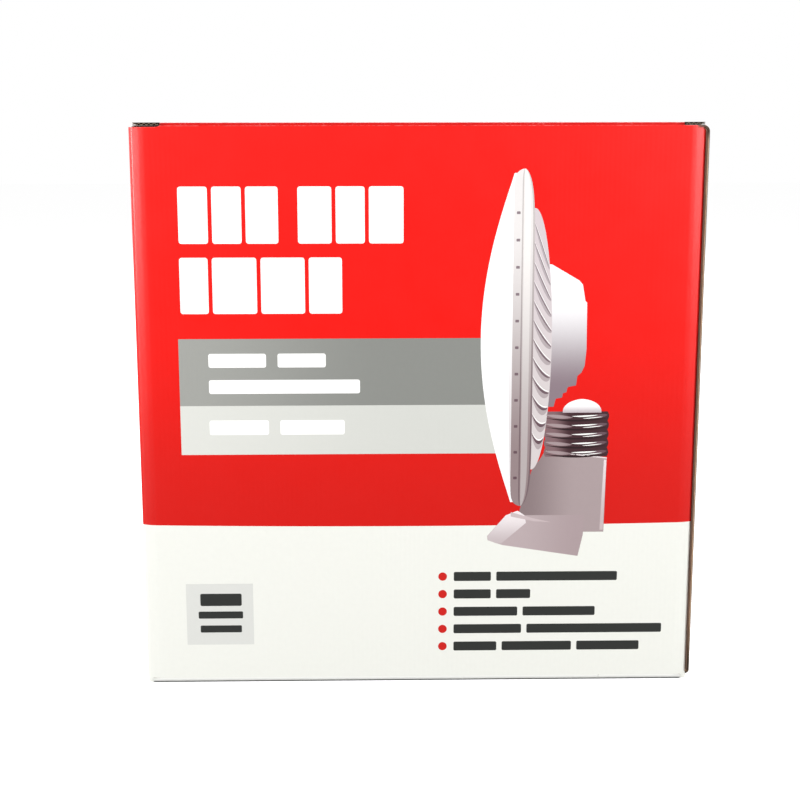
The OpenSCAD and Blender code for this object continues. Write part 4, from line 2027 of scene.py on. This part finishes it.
    def stand(self) -> None:
        """The block that the lamp stands on, with a pale bevel, and its foot with a pale facet."""
        inks = self.palette
        left = knotted((
            (76.0, 45.0), (86.0, 48.0), (96.0, 50.4), (107.5, 54.0), (112.0, 57.6), (116.3, 60.0),
        ))
        right = knotted(((76.0, 88.8), (112.8, 89.5), (116.3, 60.4)))
        block = InkPatch(76.0 * MM, 116.3 * MM, left, right, rows=60)
        self.lay("stand_block", [block], inks.stand, Layer.FIELD)
        top = knotted(((60.0, 116.3), (89.5, 112.8)))
        bevel = InkPatch(60.4 * MM, 89.5 * MM, lambda x: top(x) - 0.6 * MM, top, upright=False)
        edge = InkPatch(
            77.0 * MM, 111.6 * MM,
            knotted(((77.0, 86.9), (111.6, 88.2))),
            knotted(((77.0, 88.5), (111.6, 89.4))),
        )
        self.lay("stand_bevel", [bevel, edge], inks.stand_pale, Layer.BODY)
        foot = InkPatch(
            64.0 * MM, 84.4 * MM,
            knotted(((64.0, 76.0), (69.6, 40.0), (72.0, 33.0), (74.2, 32.8), (84.4, 41.6))),
            knotted(((64.0, 76.6), (74.0, 78.8), (75.4, 79.0), (84.4, 79.2))),
            rows=60,
        )
        self.lay("stand_foot", [foot], inks.foot, Layer.BODY)
        facet = InkPatch(
            70.4 * MM, 86.6 * MM,
            knotted(((70.4, 37.4), (72.0, 33.2), (74.2, 33.0), (84.4, 41.6), (86.6, 47.0))),
            knotted(((70.4, 39.6), (80.6, 51.4), (84.4, 50.6), (86.6, 47.4))),
            rows=50,
        )
        self.lay("foot_facet", [facet], inks.foot_pale, Layer.FRONT)
        low = knotted(((44.0, 83.8), (55.0, 81.4), (63.0, 80.9)))
        high = knotted(((44.0, 86.0), (55.0, 82.8), (63.0, 81.0)))
        rim = InkPatch(44.0 * MM, 63.0 * MM, low, high, upright=False)
        self.lay("foot_rim", [rim], inks.stand_pale, Layer.MARK)

    def build(self) -> None:
        """Draws the picture from back to front."""
        self.stand()
        self.base()
        self.housing()
        self.fins()
        self.lens()
        self.rim()


def grey(value: float) -> tuple[float, float, float, float]:
    """An opaque grey."""
    return value, value, value, 1.0


@dataclass
class Studio:
    """The floor, the soft lights and the camera at the photograph's viewing angle."""

    lens_mm: float = 64.0
    sensor_mm: float = 36.0
    camera_place: tuple[float, float, float] = (-0.0206, -0.7074, 0.2689)
    camera_degrees: tuple[float, float, float] = (-0.994, -10.964, -0.072)
    floor_reach: float = 6.0
    floor_white: float = 0.93
    floor_bounce: float = 0.10
    floor_glow: float = 0.80
    even_light: float = 0.20

    def camera(self) -> None:
        """Sets the camera by its place and its yaw, pitch and roll."""
        yaw, pitch, roll = (math.radians(angle) for angle in self.camera_degrees)
        forward = Vector((-math.sin(yaw) * math.cos(pitch), math.cos(yaw) * math.cos(pitch), math.sin(pitch)))
        level_right = Vector((math.cos(yaw), math.sin(yaw), 0.0))
        up = level_right.cross(forward)
        right = level_right * math.cos(roll) + up * math.sin(roll)
        up = right.cross(forward)
        data = bpy.data.cameras.new("camera")
        data.lens = self.lens_mm
        data.sensor_width = self.sensor_mm
        data.clip_start = 0.01
        camera = bpy.data.objects.new("camera", data)
        turn = Matrix((right, up, -forward)).transposed().to_4x4()
        camera.matrix_world = Matrix.Translation(self.camera_place) @ turn
        bpy.context.scene.collection.objects.link(camera)
        bpy.context.scene.camera = camera

    def floor(self) -> None:
        """Adds a plain pale floor, white to the camera and dim to the carton."""
        data = bpy.data.meshes.new("floor")
        r = self.floor_reach
        data.from_pydata([(-r, -r, 0), (r, -r, 0), (r, r, 0), (-r, r, 0)], [], [(0, 1, 2, 3)])
        paint = bpy.data.materials.new("pale_floor")
        paint.use_nodes = True
        n = Nodes(paint.node_tree)
        shader = paint.node_tree.nodes["Principled BSDF"]
        shader.inputs["Roughness"].default_value = 0.8
        shader.inputs["Specular IOR Level"].default_value = 0.1
        shader.inputs["Emission Color"].default_value = grey(1.0)
        seen = n.add("ShaderNodeLightPath").outputs["Is Camera Ray"]
        n.link(n.mix(seen, grey(self.floor_bounce), grey(self.floor_white)), shader.inputs["Base Color"])
        n.link(n.math("MULTIPLY", seen, self.floor_glow), shader.inputs["Emission Strength"])
        data.materials.append(paint)
        floor = bpy.data.objects.new("floor", data)
        bpy.context.scene.collection.objects.link(floor)

    def light(self, name: str, place: Colour, aim: Colour, size: tuple[float, float], watts: float) -> None:
        """Adds a soft rectangular light.

        Args:
            name: The light's name.
            place: Where it hangs.
            aim: The point it faces.
            size: Its width and height.
            watts: Its power.
        """
        data = bpy.data.lights.new(name, "AREA")
        data.shape = "RECTANGLE"
        data.size, data.size_y = size
        data.energy = watts
        lamp = bpy.data.objects.new(name, data)
        lamp.location = place
        lamp.rotation_euler = (Vector(aim) - Vector(place)).to_track_quat("-Z", "Y").to_euler()
        lamp.visible_camera = False
        bpy.context.scene.collection.objects.link(lamp)

    def world(self) -> None:
        """A white background for the camera and a dimmer even light for the surfaces."""
        world = bpy.data.worlds.new("studio")
        world.use_nodes = True
        bpy.context.scene.world = world
        n = Nodes(world.node_tree)
        back = world.node_tree.nodes["Background"]
        seen = n.add("ShaderNodeLightPath").outputs["Is Camera Ray"]
        n.link(n.mix(seen, grey(self.even_light), grey(1.0)), back.inputs["Color"])

    def build(self) -> None:
        """Sets the floor, the lights and the background."""
        self.floor()
        self.world()
        self.light("key", (0.3, -1.3, 0.86), (0.0, 0.0, 0.15), (2.4, 1.0), 3.3)
        self.light("left_strip", (-0.80, -0.95, 0.42), (0.0, -0.05, 0.30), (0.3, 0.7), 5.4)
        self.light("left_edge", (-1.09, -0.50, 0.38), (-0.1, -0.05, 0.28), (0.12, 0.5), 11.0)
        self.light("left_wall", (-1.0, 0.3, 0.5), (-0.13, -0.04, 0.2), (0.4, 0.9), 3.6)
        self.light("right_strip", (0.80, -1.04, 0.50), (0.0, -0.05, 0.38), (0.3, 0.7), 6.1)
        self.light("right_edge", (1.11, -0.54, 0.46), (0.1, -0.05, 0.34), (0.12, 0.5), 11.5)
        self.light("back_fill", (0.4, 1.7, 1.3), (0.0, 0.0, 0.1), (2.0, 1.4), 34.0)
        scene = bpy.context.scene
        scene.view_settings.view_transform = "Standard"
        scene.view_settings.look = "None"


def main() -> None:
    """Builds the carton's sub-assemblies in order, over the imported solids."""
    logging.basicConfig(level=logging.INFO, format="%(name)s: %(message)s")
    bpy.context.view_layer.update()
    box_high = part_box("carton")[1]
    lid_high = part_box("lid")[1]
    sizes = Sizes(side_x=box_high[0], side_y=box_high[1], top=lid_high[2])
    studio = Studio()
    studio.camera()
    palette = Palette(sizes)
    tube = Tube(sizes, palette)
    tube.build()
    SideFlaps(sizes, palette).build()
    LockedBottom(sizes, palette).build()
    Lid(sizes, palette).build()
    FrontPrint(tube, palette).build()
    LampPicture(tube, palette).build()
    studio.build()
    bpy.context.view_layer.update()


if __name__ == "__main__":
    main()
